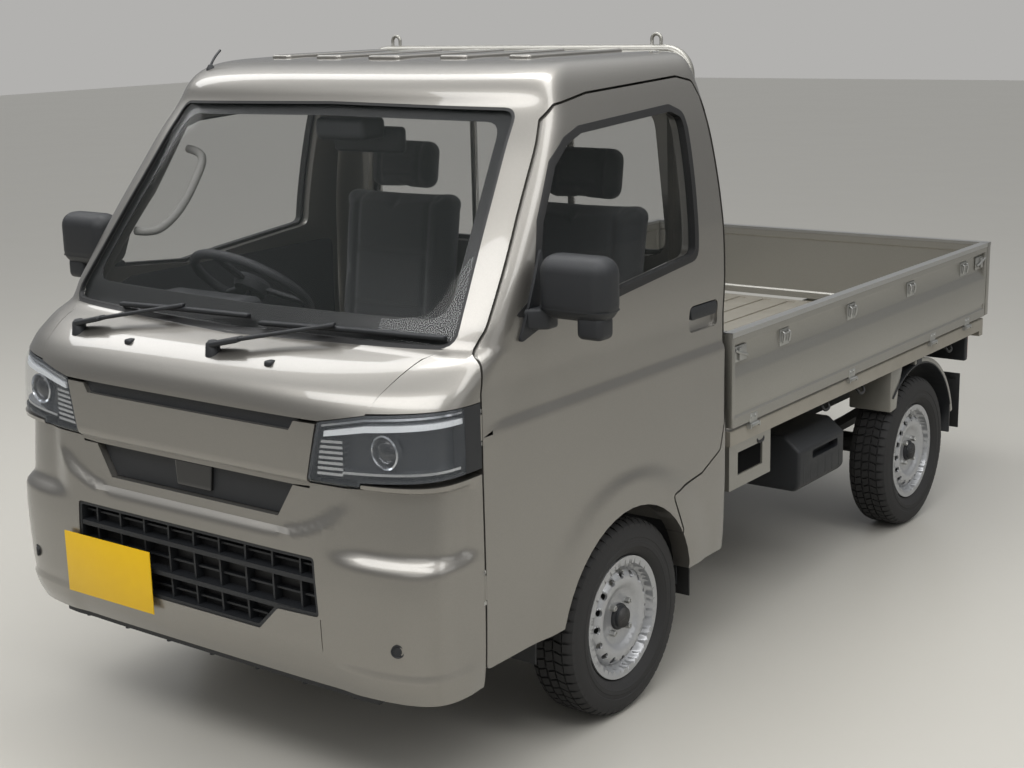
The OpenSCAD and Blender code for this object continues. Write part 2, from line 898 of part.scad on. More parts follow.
module battery_box() {
    depth = half_w - 38 - rail_x - rail_w / 2;
    color(black_trim) translate([rail_x + rail_w / 2, bed_y0 + 490, 335])
        difference() {
            cube([depth, 320, 178]);
            translate([depth - 8, 90, 140]) cube([20, 200, 14]);
        }
}

module fuel_tank() {
    color(dark_steel) translate([-half_w + 60, bed_y0 + 120, 300])
        cube([half_w - 60 - rail_x - rail_w / 2, 640, 230]);
}

tyre_in_r = track_rear / 2 - tyre_w / 2;
diff_r = 98;

// Live axle with its final drive, drums and the hubs that carry the wheels
module rear_axle() {
    color(dark_steel) {
        translate([0, y_axle_r, axle_z]) {
            rotate([0, 90, 0]) cylinder(h = 2 * (tyre_in_r - 12), r = 36, center = true);
            rotate([0, 90, 0]) rotate_extrude() intersection() {
                circle(diff_r);
                translate([20, -diff_r]) square([diff_r, 2 * diff_r]);
            }
            both_sides() {
                translate([tyre_in_r - 20, 0, 0]) rotate([0, 90, 0])
                    cylinder(h = track_rear / 2 + 34 - tyre_in_r + 20, r = 104);
                translate([track_rear / 2 + 12, 0, 0]) rotate([0, 90, 0])
                    cylinder(h = 48, r = hub_r);
            }
        }
    }
}

spring_x = rail_x + rail_w / 2 + 42;
spring_half = 480;
spring_rise = 34;
spring_w = 50;

// Arched leaf springs over the axle, hung from the rails
module leaf_springs() {
    z_mid = axle_z + 36;
    r = (spring_half * spring_half + spring_rise * spring_rise) / (2 * spring_rise);
    color(dark_steel) both_sides() {
        for (k = [0:2]) translate([spring_x - spring_w / 2, y_axle_r, z_mid + 8 * k])
            intersection() {
                translate([0, 0, r]) rotate([0, 90, 0]) difference() {
                    cylinder(h = spring_w, r = r, $fn = 180);
                    translate([0, 0, -1]) cylinder(h = spring_w + 2, r = r - 8, $fn = 180);
                }
                translate([-1, -spring_half + 130 * (2 - k), -1])
                    cube([spring_w + 2, 2 * spring_half - 260 * (2 - k), spring_rise + 14]);
            }
        for (s = [-1, 1])
            translate([rail_x + rail_w / 2, y_axle_r + s * (spring_half - 20) - 20,
                    z_mid + spring_rise])
                cube([spring_x + spring_w / 2 - rail_x - rail_w / 2, 40,
                    rail_z1 - 10 - z_mid - spring_rise]);
    }
}

// ---- Front suspension and steering ---------------------------------------------
king_x = 552;
strut_r = 22;
strut_top_z = 560;
ball_z = 180;

module front_suspension() {
    color(dark_steel) both_sides() {
        hull() {
            translate([rail_x + rail_w / 2 - 10, y_axle_f - 70, rail_z0 - 110])
                cube([10, 160, 18]);
            translate([king_x, y_axle_f, ball_z - 60]) cylinder(h = 14, r = 20);
        }
        translate([king_x, y_axle_f, ball_z - 60]) cylinder(h = 52, r = 12);
        translate([rail_x + rail_w / 2 - 30, y_axle_f - 70, rail_z0 - 110])
            cube([30, 160, 110]);
        intersection() {
            translate([king_x - 60, y_axle_f - 60, strut_top_z + fit]) cube([120, 120, 80]);
            side_prism(0, half_w) arch_outline(house_r - fit);
        }
    }
}

// Hub carrier, strut and spindle of the left front wheel
module one_knuckle() {
    color(dark_steel) translate([0, y_axle_f, 0]) {
        translate([king_x, 0, ball_z - 8 + fit])
            cylinder(h = strut_top_z - ball_z + 8 - fit, r = strut_r);
        translate([king_x, -45, axle_z - 60]) cube([58, 90, 120]);
        translate([king_x + 40, 0, axle_z]) rotate([0, 90, 0])
            cylinder(h = track_front / 2 + 34 - king_x - 40, r = 70);
        translate([track_front / 2 + 12, 0, axle_z]) rotate([0, 90, 0])
            cylinder(h = 48, r = hub_r);
    }
}

module knuckle_left() {
    one_knuckle();
}

module knuckle_right() {
    mirror([1, 0, 0]) one_knuckle();
}

// ---- Wheels ------------------------------------------------------------------
rim_half = 58;
hub_face = 34;
vent_circle_r = 116;
VENTS = 16;

// Pressed steel wheel on the X axis, its outer side towards +X
module rim() {
    lip = rim_half - 6;
    wall_r = bead_r - 6;
    well_r = bead_r - 14;
    back = hub_face + fit;
    front = back + 6;
    difference() {
        rotate([0, 90, 0]) rotate_extrude($fn = 96) polygon([
            [rim_r, rim_half], [rim_r, lip], [bead_r, lip - 2], [bead_r, 34],
            [well_r, 22], [well_r, -10], [bead_r, -28], [bead_r, 2 - lip],
            [rim_r, -lip], [rim_r, -rim_half], [wall_r, -rim_half], [wall_r, -30],
            [well_r - 6, -13], [well_r - 6, 12], [well_r - 18, back + 4],
            [well_r - 26, back + 13], [98, back + 13], [88, back + 9], [76, back],
            [hub_r + fit, back], [hub_r + fit, front], [72, front], [84, front + 9],
            [96, front + 14], [well_r - 24, front + 14], [well_r - 12, front + 4],
            [well_r - 4, 30], [wall_r, 38], [wall_r, rim_half]]);
        for (i = [0:VENTS - 1]) rotate([i * 360 / VENTS, 0, 0])
            translate([0, 0, vent_circle_r]) rotate([0, 90, 0])
                cylinder(h = 80, r = 9, $fn = 24);
        for (i = [0:3]) rotate([i * 90 + 45, 0, 0])
            translate([0, 0, bolt_circle_r]) rotate([0, 90, 0])
                cylinder(h = 80, r = 6.5, $fn = 24);
    }
}

module tyre() {
    s = tyre_w / 2;
    bead_s = rim_half - 8.5;
    color("#222324") rotate([0, 90, 0]) rotate_extrude($fn = 128) polygon([
        [bead_r, -bead_s], [rim_r + 1, -bead_s], [rim_r + 12, -s + 8],
        [tyre_r - 62, -s], [tyre_r - 38, -s + 1], [tyre_r - 14, -s + 7],
        [tyre_r - 3, -s + 18], [tyre_r, -s + 36], [tyre_r, s - 36],
        [tyre_r - 3, s - 18], [tyre_r - 14, s - 7], [tyre_r - 38, s - 1],
        [tyre_r - 62, s], [rim_r + 12, s - 8], [rim_r + 1, bead_s], [bead_r, bead_s]]);
}

module at_front_wheel() {
    translate([track_front / 2, y_axle_f, axle_z]) children();
}

module at_rear_wheel() {
    translate([track_rear / 2, y_axle_r, axle_z]) children();
}

module rim_front_left() {
    color(steel) at_front_wheel() rim();
}

module rim_front_right() {
    mirror([1, 0, 0]) rim_front_left();
}

module rim_rear_left() {
    color(steel) at_rear_wheel() rim();
}

module rim_rear_right() {
    mirror([1, 0, 0]) rim_rear_left();
}

module tyre_front_left() {
    at_front_wheel() tyre();
}

module tyre_front_right() {
    mirror([1, 0, 0]) tyre_front_left();
}

module tyre_rear_left() {
    at_rear_wheel() tyre();
}

module tyre_rear_right() {
    mirror([1, 0, 0]) tyre_rear_left();
}

// ---- Mudguards, lamps and plates -------------------------------------------------
guard_t = 5;
rear_guard_r = tyre_r + 52;
sill_z0 = bed_floor_z - sill_h;

// Ring segment on the X axis from angle a0 to a1, measured from the back upwards
module ring_segment(r, t, x0, x1, a0, a1) {
    translate([x0, 0, 0]) rotate([90, 0, 90]) rotate(a0)
        rotate_extrude(angle = a1 - a0, $fn = 96) translate([r, 0]) square([t, x1 - x0]);
}

module one_front_liner() {
    x1 = half_w - wall - 18;
    intersection() {
        translate([0, arch_y, arch_z])
            ring_segment(house_r, 6, 470, x1, -10, 190);
        translate([0, arch_y - 400, 250]) cube([half_w, 800, cab_floor_z - 270]);
    }
}

module one_rear_guard() {
    x0 = tyre_in_r + 8;
    x1 = sill_x - 4;
    translate([0, y_axle_r, axle_z])
        ring_segment(rear_guard_r, guard_t, x0, x1, 20, 132);
    translate([x0, y_axle_r - 20, axle_z + rear_guard_r + guard_t - 1])
        cube([x1 - x0, 40, sill_z0 - axle_z - rear_guard_r - guard_t + 1]);
    translate([x0 + 2, y_axle_r + rear_guard_r * cos(20) - 4, 270])
        cube([x1 - x0 - 4, 10, axle_z - 270 + rear_guard_r * sin(20) + 20]);
}

module mudguards() {
    color(black_trim) both_sides() {
        one_front_liner();
        one_rear_guard();
    }
}

lamp_x0 = half_w - 250;

// Rear combination lamps on brackets under the back of the bed
module tail_lamps() {
    color("#a01c18") both_sides() {
        translate([lamp_x0, bed_y1 - 46, 486]) cube([190, 40, 96]);
        translate([lamp_x0 + 40, bed_y1 - 30, 500])
            cube([110, 12, sill_z0 - 20 - 500]);
    }
}

plate_x = -303;
plate_z = 458;
plate_w = 330;
plate_h = 165;

function setback_at(z) = lookup(z, [for (row = CAB_ROWS) [row[0], row[1]]]);

module number_plates() {
    mount_z = 404;
    color("#e8c21a") {
        translate([plate_x - plate_w / 2, y_front, plate_z - plate_h / 2])
            cube([plate_w, 4, plate_h]);
        translate([plate_x - 80, y_front + 4, mount_z - 24])
            cube([160, setback_at(mount_z) - 3.6, 24]);
        translate([-plate_w / 2, bed_y1 - 20, 410]) cube([plate_w, 4, plate_h]);
        translate([-60, bed_y1 - 34, 520]) cube([120, 14, sill_z0 - 20 - 520]);
    }
}

chassis_frame();
cab_shell();
cab_floor();
hood_panel();
grille_panel();
front_bumper();
lower_grille();
headlamps();
windscreen();
rear_window();
dashboard();
seats();
steering_column();
steering_wheel();
wipers();
door_left();
door_right();
door_glass_left();
door_glass_right();
mirror_left();
mirror_right();
hinge_pins();
bed_floor();
front_board();
guard_frame();
gate_left();
gate_right();
tailgate();
side_brackets();
battery_box();
fuel_tank();
engine_block();
exhaust();
propeller_shaft();
rear_axle();
leaf_springs();
front_suspension();
knuckle_left();
knuckle_right();
rim_front_left();
rim_front_right();
rim_rear_left();
rim_rear_right();
tyre_front_left();
tyre_front_right();
tyre_rear_left();
tyre_rear_right();
mudguards();
tail_lamps();
number_plates();
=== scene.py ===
"""Looks of a small cab-over truck with a drop-side bed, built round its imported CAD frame.

Metres. +X is the truck's left, -Y its front and +Z up. The cab's panels, glass and trims are cut
from one smooth form, the same one that the CAD cab follows, so they meet with even gaps.
"""
import json
import logging
import math
from dataclasses import dataclass, field
from enum import Enum
from typing import Iterable, Sequence

import bpy
from mathutils import Matrix, Vector


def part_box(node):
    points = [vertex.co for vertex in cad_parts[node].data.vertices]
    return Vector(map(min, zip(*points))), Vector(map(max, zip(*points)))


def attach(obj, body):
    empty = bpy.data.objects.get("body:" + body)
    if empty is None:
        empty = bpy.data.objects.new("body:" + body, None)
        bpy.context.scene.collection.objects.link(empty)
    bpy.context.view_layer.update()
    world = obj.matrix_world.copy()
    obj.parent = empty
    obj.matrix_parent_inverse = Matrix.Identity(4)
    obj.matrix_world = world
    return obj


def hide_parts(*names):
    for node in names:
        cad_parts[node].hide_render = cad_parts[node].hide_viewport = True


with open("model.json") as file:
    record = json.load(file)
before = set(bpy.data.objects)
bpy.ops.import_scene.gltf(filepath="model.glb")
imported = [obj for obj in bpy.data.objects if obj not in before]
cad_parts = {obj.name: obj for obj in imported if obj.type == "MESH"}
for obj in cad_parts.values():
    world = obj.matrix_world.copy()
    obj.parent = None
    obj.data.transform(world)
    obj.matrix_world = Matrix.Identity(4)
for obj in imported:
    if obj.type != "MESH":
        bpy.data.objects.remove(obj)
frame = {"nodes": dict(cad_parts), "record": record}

LOG = logging.getLogger("kei_truck")
Outline = list[tuple[float, float]]
Triple = tuple[float, float, float]
Piece = bpy.types.Object
HALF_WIDTH = 0.7375
FRONT = -1.6975
CAB_REAR = -0.3175
SCREEN_FOOT = 1.093
SCREEN_HEAD = 1.612
ROOF = 1.718
FRONT_AXLE = -0.8345
REAR_AXLE = 1.0705
AXLE_HEIGHT = 0.266
BED_FRONT = -0.2935
BED_REAR = 1.6575
FLOOR_TOP = 0.650
GATE_TOP = 0.937
DOOR_INNER = 0.5625


class Axis(Enum):
    """The row axis that an outline is extruded along."""

    X = 0
    Y = 1
    Z = 2


class Side(Enum):
    """The side of the truck, as the sign of X."""

    LEFT = 1
    RIGHT = -1


class Region(Enum):
    """The part of the cab form that a panel is taken from."""

    FRONT = "front"
    LEFT = "left"
    REAR = "rear"
    ALL = "all"


class Pattern(Enum):
    """The small-scale structure of a finish."""

    FLAKES = "flakes"
    GRAIN = "grain"
    BRUSHED = "brushed"
    WEAVE = "weave"
    CLOUDS = "clouds"
    RIBS = "ribs"


# ---- Finishes ----


def linear(red: int, green: int, blue: int) -> tuple[float, float, float, float]:
    """Turns a display colour into a linear one.

    Args:
        red: Red from 0 to 255.
        green: Green from 0 to 255.
        blue: Blue from 0 to 255.

    Returns:
        The linear colour with an alpha of 1.
    """
    values = [v / 255 for v in (red, green, blue)]
    return (*[v / 12.92 if v <= 0.04045 else ((v + 0.055) / 1.055) ** 2.4 for v in values], 1.0)


def feed(node: bpy.types.Node, **values: object) -> None:
    """Sets a node's inputs, each named with an underscore for a space."""
    for name, value in values.items():
        node.inputs[name.replace("_", " ")].default_value = value


@dataclass(frozen=True)
class Finish:
    """A surface finish whose colour, gloss and relief vary over the surface."""

    name: str
    colour: tuple[int, int, int]
    shade: tuple[int, int, int]
    pattern: Pattern
    scale: float
    relief: float = 0.1
    metallic: float = 0.0
    rough: tuple[float, float] = (0.4, 0.5)
    coat: float = 0.0
    alpha: float = 1.0
    sheen: float = 0.0
    specular: float = 0.5

    def texture(self, nodes: bpy.types.Nodes) -> bpy.types.NodeSocket:
        """Adds the pattern's texture node.

        Args:
            nodes: The material's nodes.

        Returns:
            The socket that carries the pattern from 0 to 1.
        """
        if self.pattern is Pattern.FLAKES:
            node = nodes.new("ShaderNodeTexVoronoi")
            node.feature = "F1"
            feed(node, Scale=self.scale)
            return node.outputs["Color"]
        if self.pattern in (Pattern.WEAVE, Pattern.RIBS):
            ribbed = self.pattern is Pattern.RIBS
            node = nodes.new("ShaderNodeTexWave")
            node.wave_type = "BANDS"
            node.bands_direction = "X" if ribbed else "DIAGONAL"
            feed(node, Scale=self.scale, Distortion=0.0 if ribbed else 1.5, Detail_Scale=3.0)
            return node.outputs["Fac"]
        node = nodes.new("ShaderNodeTexNoise")
        feed(node, Scale=self.scale, Detail=3.0 if self.pattern is Pattern.CLOUDS else 6.0)
        return node.outputs["Fac"]

    def build(self) -> bpy.types.Material:
        """Makes the node material.

        Returns:
            The finished material.
        """
        material = bpy.data.materials.new(f"look_{self.name}")
        material.use_nodes = True
        nodes, links = material.node_tree.nodes, material.node_tree.links
        shader = nodes["Principled BSDF"]
        place = nodes.new("ShaderNodeTexCoord")
        mapping = nodes.new("ShaderNodeMapping")
        if self.pattern is Pattern.BRUSHED:
            feed(mapping, Scale=(0.12, 1.0, 1.0))
        links.new(place.outputs["Object"], mapping.inputs["Vector"])
        pattern = self.texture(nodes)
        links.new(mapping.outputs["Vector"], pattern.node.inputs["Vector"])
        broad = nodes.new("ShaderNodeTexNoise")
        feed(broad, Scale=2.3, Detail=2.0)
        links.new(mapping.outputs["Vector"], broad.inputs["Vector"])
        blend = nodes.new("ShaderNodeMath")
        blend.operation = "MULTIPLY_ADD"
        blend.inputs[1].default_value = 0.6
        links.new(pattern, blend.inputs[0])
        spread = nodes.new("ShaderNodeMath")
        spread.operation = "MULTIPLY"
        spread.inputs[1].default_value = 0.4
        links.new(broad.outputs["Fac"], spread.inputs[0])
        links.new(spread.outputs["Value"], blend.inputs[2])
        mix = nodes.new("ShaderNodeMix")
        mix.data_type = "RGBA"
        feed(mix, A=linear(*self.colour), B=linear(*self.shade))
        links.new(blend.outputs["Value"], mix.inputs["Factor"])
        links.new(mix.outputs["Result"], shader.inputs["Base Color"])
        gloss = nodes.new("ShaderNodeMapRange")
        feed(gloss, To_Min=self.rough[0], To_Max=self.rough[1])
        links.new(blend.outputs["Value"], gloss.inputs["Value"])
        links.new(gloss.outputs["Result"], shader.inputs["Roughness"])
        bump = nodes.new("ShaderNodeBump")
        feed(bump, Strength=self.relief, Distance=0.002)
        links.new(pattern, bump.inputs["Height"])
        links.new(bump.outputs["Normal"], shader.inputs["Normal"])
        feed(shader, Metallic=self.metallic, Coat_Weight=self.coat, Coat_Roughness=0.04,
             Alpha=self.alpha, Sheen_Weight=self.sheen, Specular_IOR_Level=self.specular)
        return material


class Coat(Enum):
    """Every finish on the truck, each with the record's slot that it belongs to."""

    BODY = ("body_paint", Finish(
        "body_paint", (145, 142, 136), (135, 132, 126), Pattern.FLAKES, 900, 0.012, 0.85,
        (0.34, 0.42), 1.0))
    BED = ("bed_paint", Finish(
        "bed_paint", (152, 150, 143), (141, 139, 132), Pattern.FLAKES, 700, 0.02, 0.75,
        (0.38, 0.48), 0.7))
    BED_FLOOR = ("bed_paint", Finish(
        "bed_floor_paint", (158, 153, 142), (138, 133, 122), Pattern.CLOUDS, 14, 0.05, 0.35,
        (0.42, 0.6), 0.3))
    CHASSIS = ("chassis_paint", Finish(
        "chassis_paint", (32, 33, 35), (44, 43, 42), Pattern.CLOUDS, 30, 0.25, 0.0, (0.45, 0.7)))
    CAST = ("cast_metal", Finish(
        "cast_metal", (84, 84, 84), (62, 60, 58), Pattern.GRAIN, 160, 0.5, 0.7, (0.5, 0.7)))
    STEEL = ("bare_steel", Finish(
        "bare_steel", (196, 196, 194), (168, 168, 166), Pattern.BRUSHED, 220, 0.08, 0.9,
        (0.25, 0.42)))
    ZINC = ("bare_steel", Finish(
        "zinc_plate", (190, 190, 186), (150, 150, 148), Pattern.CLOUDS, 120, 0.1, 0.85,
        (0.3, 0.5)))
    RIM = ("rim_paint", Finish(
        "rim_paint", (178, 179, 180), (162, 163, 165), Pattern.FLAKES, 800, 0.015, 0.5,
        (0.30, 0.40), 0.4))
    TYRE = ("tyre_rubber", Finish(
        "tyre_rubber", (33, 33, 34), (42, 41, 40), Pattern.GRAIN, 240, 0.25, 0.0, (0.68, 0.85)))
    PLASTIC = ("black_plastic", Finish(
        "black_plastic", (25, 27, 30), (32, 34, 37), Pattern.GRAIN, 900, 0.35, 0.0, (0.42, 0.58)))
    GLOSS_BLACK = ("black_plastic", Finish(
        "gloss_black", (14, 14, 15), (18, 18, 19), Pattern.CLOUDS, 40, 0.02, 0.0, (0.10, 0.18),
        0.4))
    TRIM_GREY = ("black_plastic", Finish(
        "interior_grey", (150, 149, 145), (138, 137, 133), Pattern.GRAIN, 700, 0.3, 0.0,
        (0.6, 0.75)))
    DASH = ("black_plastic", Finish(
        "dash_plastic", (48, 49, 52), (60, 61, 63), Pattern.GRAIN, 800, 0.4, 0.0, (0.5, 0.65)))
    RUBBER = ("black_rubber", Finish(
        "black_rubber", (20, 20, 21), (28, 28, 28), Pattern.GRAIN, 500, 0.2, 0.0, (0.5, 0.65)))
    LENS = ("lamp_clear", Finish(
        "lamp_lens", (150, 155, 160), (140, 145, 150), Pattern.CLOUDS, 10, 0.0, 0.0, (0.03, 0.06),
        alpha=0.09))
    BEZEL = ("lamp_clear", Finish(
        "lamp_bezel", (38, 40, 43), (52, 54, 57), Pattern.CLOUDS, 60, 0.03, 0.3, (0.2, 0.3)))
    CHROME = ("lamp_clear", Finish(
        "lamp_chrome", (215, 217, 220), (190, 193, 197), Pattern.CLOUDS, 50, 0.02, 0.95,
        (0.08, 0.16)))
    LIGHT_BAR = ("lamp_clear", Finish(
        "light_bar", (228, 231, 234), (214, 218, 222), Pattern.RIBS, 60, 0.15, 0.0, (0.25, 0.35)))
    RED_LENS = ("lamp_red", Finish(
        "red_lens", (168, 22, 20), (120, 12, 12), Pattern.RIBS, 90, 0.4, 0.0, (0.12, 0.2), 0.5))
    AMBER_LENS = ("lamp_red", Finish(
        "amber_lens", (214, 112, 20), (170, 80, 12), Pattern.RIBS, 90, 0.4, 0.0, (0.12, 0.2), 0.5))
    WHITE_LENS = ("lamp_clear", Finish(
        "white_lens", (214, 216, 216), (180, 182, 184), Pattern.RIBS, 90, 0.4, 0.0, (0.12, 0.2),
        0.5))
    PLATE = ("plate_paint", Finish(
        "plate_yellow", (232, 188, 6), (222, 176, 4), Pattern.CLOUDS, 30, 0.03, 0.0, (0.35, 0.45)))
    GLASS = ("window_glass", Finish(
        "window_glass", (40, 45, 44), (46, 52, 50), Pattern.CLOUDS, 4, 0.0, 0.0, (0.02, 0.04),
        alpha=0.10, specular=0.8))
    FRIT = ("window_glass", Finish(
        "glass_border", (16, 16, 17), (20, 20, 21), Pattern.CLOUDS, 60, 0.02, 0.0, (0.25, 0.35)))
    MIRROR = ("bare_steel", Finish(
        "mirror_glass", (200, 204, 208), (196, 200, 204), Pattern.CLOUDS, 5, 0.0, 1.0,
        (0.02, 0.05)))
    CLOTH = ("seat_cloth", Finish(
        "seat_cloth", (62, 63, 65), (84, 85, 87), Pattern.WEAVE, 420, 0.5, 0.0, (0.85, 0.95),
        sheen=0.3))

    @property
    def slot(self) -> str:
        """Names the record's material slot."""
        return self.value[0]

    @property
    def material(self) -> bpy.types.Material:
        """Makes the finish's material once and then gives the same one."""
        finish = self.value[1]
        return bpy.data.materials.get(f"look_{finish.name}") or finish.build()


# ---- Modelling tools ----


def deselect() -> None:
    """Leaves edit mode and deselects every object."""
    if bpy.context.object and bpy.context.object.mode != "OBJECT":
        bpy.ops.object.mode_set(mode="OBJECT")
    bpy.ops.object.select_all(action="DESELECT")


def activate(piece: Piece) -> None:
    """Selects one object alone and makes it active."""
    deselect()
    piece.select_set(True)
    bpy.context.view_layer.objects.active = piece


def settle(piece: Piece) -> Piece:
    """Moves the object's place into its mesh."""
    activate(piece)
    bpy.ops.object.transform_apply(location=True, rotation=True, scale=True)
    return piece


def modify(piece: Piece, kind: str, **settings: object) -> Piece:
    """Adds a modifier and applies it.

    Args:
        piece: The object to change.
        kind: The modifier's type.
        **settings: The modifier's own values.

    Returns:
        The same object.
    """
    activate(piece)
    modifier = piece.modifiers.new(kind.lower(), kind)
    for key, value in settings.items():
        setattr(modifier, key, value)
    bpy.ops.object.modifier_apply(modifier=modifier.name)
    return piece


def bevel(piece: Piece, width: float, segments: int = 2,
          angle: float = 40) -> Piece:
    """Rounds the sharp edges.

    Args:
        piece: The object to change.
        width: How far the rounding reaches from the edge.
        segments: The number of facets across the rounding.
        angle: Edges that turn by more than this many degrees are rounded.

    Returns:
        The same object.
    """
    return modify(piece, "BEVEL", width=width, segments=segments, limit_method="ANGLE",
                  angle_limit=math.radians(angle))


def outward(piece: Piece, merge: float = 1e-5) -> Piece:
    """Merges doubled points and turns every face outwards.

    Args:
        piece: The object to change.
        merge: Points nearer than this become one.

    Returns:
        The same object.
    """
    activate(piece)
    bpy.ops.object.mode_set(mode="EDIT")
    bpy.ops.mesh.select_all(action="SELECT")
    bpy.ops.mesh.remove_doubles(threshold=merge)
    bpy.ops.mesh.normals_make_consistent(inside=False)
    bpy.ops.object.mode_set(mode="OBJECT")
    return piece


def block(name: str, low: Triple, high: Triple, edge: float = 0.004,
          segments: int = 2) -> Piece:
    """Makes a block with rounded edges.

    Args:
        name: The object's name.
        low: Its lowest corner.
        high: Its highest corner.
        edge: The width of the rounding.
        segments: The facets across the rounding.

    Returns:
        The block.
    """
    deselect()
    middle = [(a + b) / 2 for a, b in zip(low, high)]
    bpy.ops.mesh.primitive_cube_add(size=1, location=middle)
    piece = bpy.context.object
    piece.name = name
    piece.scale = [b - a for a, b in zip(low, high)]
    settle(piece)
    return bevel(piece, edge, segments) if edge else piece


def prism(name: str, outline: Outline, axis: Axis, low: float, high: float,
          edge: float = 0.0, segments: int = 2) -> Piece:
    """Extrudes an outline along an axis.

    Args:
        name: The object's name.
        outline: Points in Y and Z, X and Z or X and Y, in the order of the row's axes.
        axis: The axis that it is extruded along.
        low: Where it starts.
        high: Where it ends.
        edge: The width of the rounding on its edges.
        segments: The facets across the rounding.

    Returns:
        The prism.
    """
    deselect()
    bpy.ops.mesh.primitive_circle_add(vertices=len(outline), fill_type="NGON")
    piece = bpy.context.object
    piece.name = name
    for vertex, (u, v) in zip(piece.data.vertices, outline):
        spot = [u, v]
        spot.insert(axis.value, low)
        vertex.co = spot
    step = [0.0, 0.0, 0.0]
    step[axis.value] = high - low
    bpy.ops.object.mode_set(mode="EDIT")
    bpy.ops.mesh.select_all(action="SELECT")
    bpy.ops.mesh.extrude_region_move(TRANSFORM_OT_translate={"value": step})
    bpy.ops.object.mode_set(mode="OBJECT")
    outward(piece)
    return bevel(piece, edge, segments, 30) if edge else piece


def turned(name: str, profile: Outline, centre: Triple, axis: Axis = Axis.X,
           steps: int = 64) -> Piece:
    """Spins a closed profile round an axis.

    Args:
        name: The object's name.
        profile: Points as (place along the axis, distance from it).
        centre: A point on the axis.
        axis: The direction of the axis.
        steps: The number of facets round it.

    Returns:
        The turned piece.
    """
    deselect()
    bpy.ops.mesh.primitive_circle_add(vertices=len(profile), fill_type="NOTHING")
    piece = bpy.context.object
    piece.name = name
    along = [0.0, 0.0, 0.0]
    along[axis.value] = 1.0
    away = [0.0, 0.0, 0.0]
    away[(axis.value + 1) % 3] = 1.0
    for vertex, (a, r) in zip(piece.data.vertices, profile):
        vertex.co = Vector(centre) + Vector(along) * a + Vector(away) * r
    bpy.ops.object.mode_set(mode="EDIT")
    bpy.ops.mesh.select_all(action="SELECT")
    bpy.ops.mesh.spin(steps=steps, angle=2 * math.pi, center=centre, axis=along)
    bpy.ops.object.mode_set(mode="OBJECT")
    return outward(piece)


def tube(name: str, points: Sequence[Triple], radius: float) -> Piece:
    """Makes a round bar along a path, which is a smooth curve where it has bends.

    Args:
        name: The object's name.
        points: The path.
        radius: The bar's radius.

    Returns:
        The bar as a mesh.
    """
    deselect()
    curve = bpy.data.curves.new(name, "CURVE")
    curve.dimensions = "3D"
    curve.bevel_depth = radius
    curve.bevel_resolution = 4
    curve.use_fill_caps = True
    spline = curve.splines.new("NURBS" if len(points) > 2 else "POLY")
    spline.points.add(len(points) - 1)
    for spot, place in zip(spline.points, points):
        spot.co = (*place, 1.0)
    spline.use_endpoint_u = True
    spline.order_u = 3
    spline.resolution_u = 8
    piece = bpy.data.objects.new(name, curve)
    bpy.context.scene.collection.objects.link(piece)
    activate(piece)
    bpy.ops.object.convert(target="MESH")
    return outward(bpy.context.object)


def bolt(place: Triple, axis: Axis, profile: tuple[float, float, float, float],
         steps: int = 12) -> Piece:
    """Makes a low round bolt head.

    Args:
        place: The middle of its seat.
        axis: The axis that it stands along.
        profile: Its radius, the height and radius of its shoulder, and its whole height.
        steps: The number of facets round it.

    Returns:
        The head.
    """
    radius, shoulder, top, height = profile
    return turned("bolt", [(0, 0), (0, radius), (shoulder, top), (height, 0)], place, axis, steps)


def combine(piece: Piece, other: Piece,
            operation: str = "DIFFERENCE") -> Piece:
    """Cuts, joins or crosses two closed pieces, and removes the second.

    Args:
        piece: The object to change.
        other: The object that cuts it.
        operation: DIFFERENCE, UNION or INTERSECT.

    Returns:
        The first object.
    """
    modify(piece, "BOOLEAN", operation=operation, object=other, solver="EXACT")
    bpy.data.objects.remove(other)
    return piece


def joined(name: str, pieces: Iterable[Piece]) -> Piece:
    """Joins pieces into one object.

    Args:
        name: The joined object's name.
        pieces: The pieces, of which the first stays.

    Returns:
        The joined object.
    """
    members = list(pieces)
    activate(members[0])
    for member in members:
        member.select_set(True)
    if len(members) > 1:
        bpy.ops.object.join()
    members[0].name = name
    return members[0]


def copied(piece: Piece, name: str, move: Matrix | None = None) -> Piece:
    """Copies a piece with a mesh of its own.

    Args:
        piece: The object to copy.
        name: The copy's name.
        move: How the copy's mesh is moved, turned or mirrored.

    Returns:
        The copy.
    """
    copy = bpy.data.objects.new(name, piece.data.copy())
    bpy.context.scene.collection.objects.link(copy)
    if move is not None:
        copy.data.transform(move)
        if move.determinant() < 0:
            copy.data.flip_normals()
    return copy


MIRROR = Matrix.Scale(-1, 4, (1, 0, 0))
FIXED = "truck_body"
DOORS = ("door_left_body", "door_right_body")
GATES = ("gate_left_body", "gate_right_body")


def dress(piece: Piece, coat: Coat, *replaced: str, body: str = FIXED,
          angle: float = 32) -> Piece:
    """Gives a piece its finish, its shading and the body that carries it.

    Args:
        piece: The finished object.
        coat: Its finish.
        *replaced: The CAD nodes that it stands for.
        body: The CAD body that it moves with.
        angle: Edges that turn by less than this many degrees are shaded smooth.

    Returns:
        The same object.
    """
    piece.data.materials.clear()
    piece.data.materials.append(coat.material)
    activate(piece)
    bpy.ops.object.shade_smooth_by_angle(angle=math.radians(angle))
    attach(piece, body)
    if replaced:
        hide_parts(*replaced)
    LOG.info("%s rides on %s, %d faces", piece.name, body, len(piece.data.polygons))
    return piece


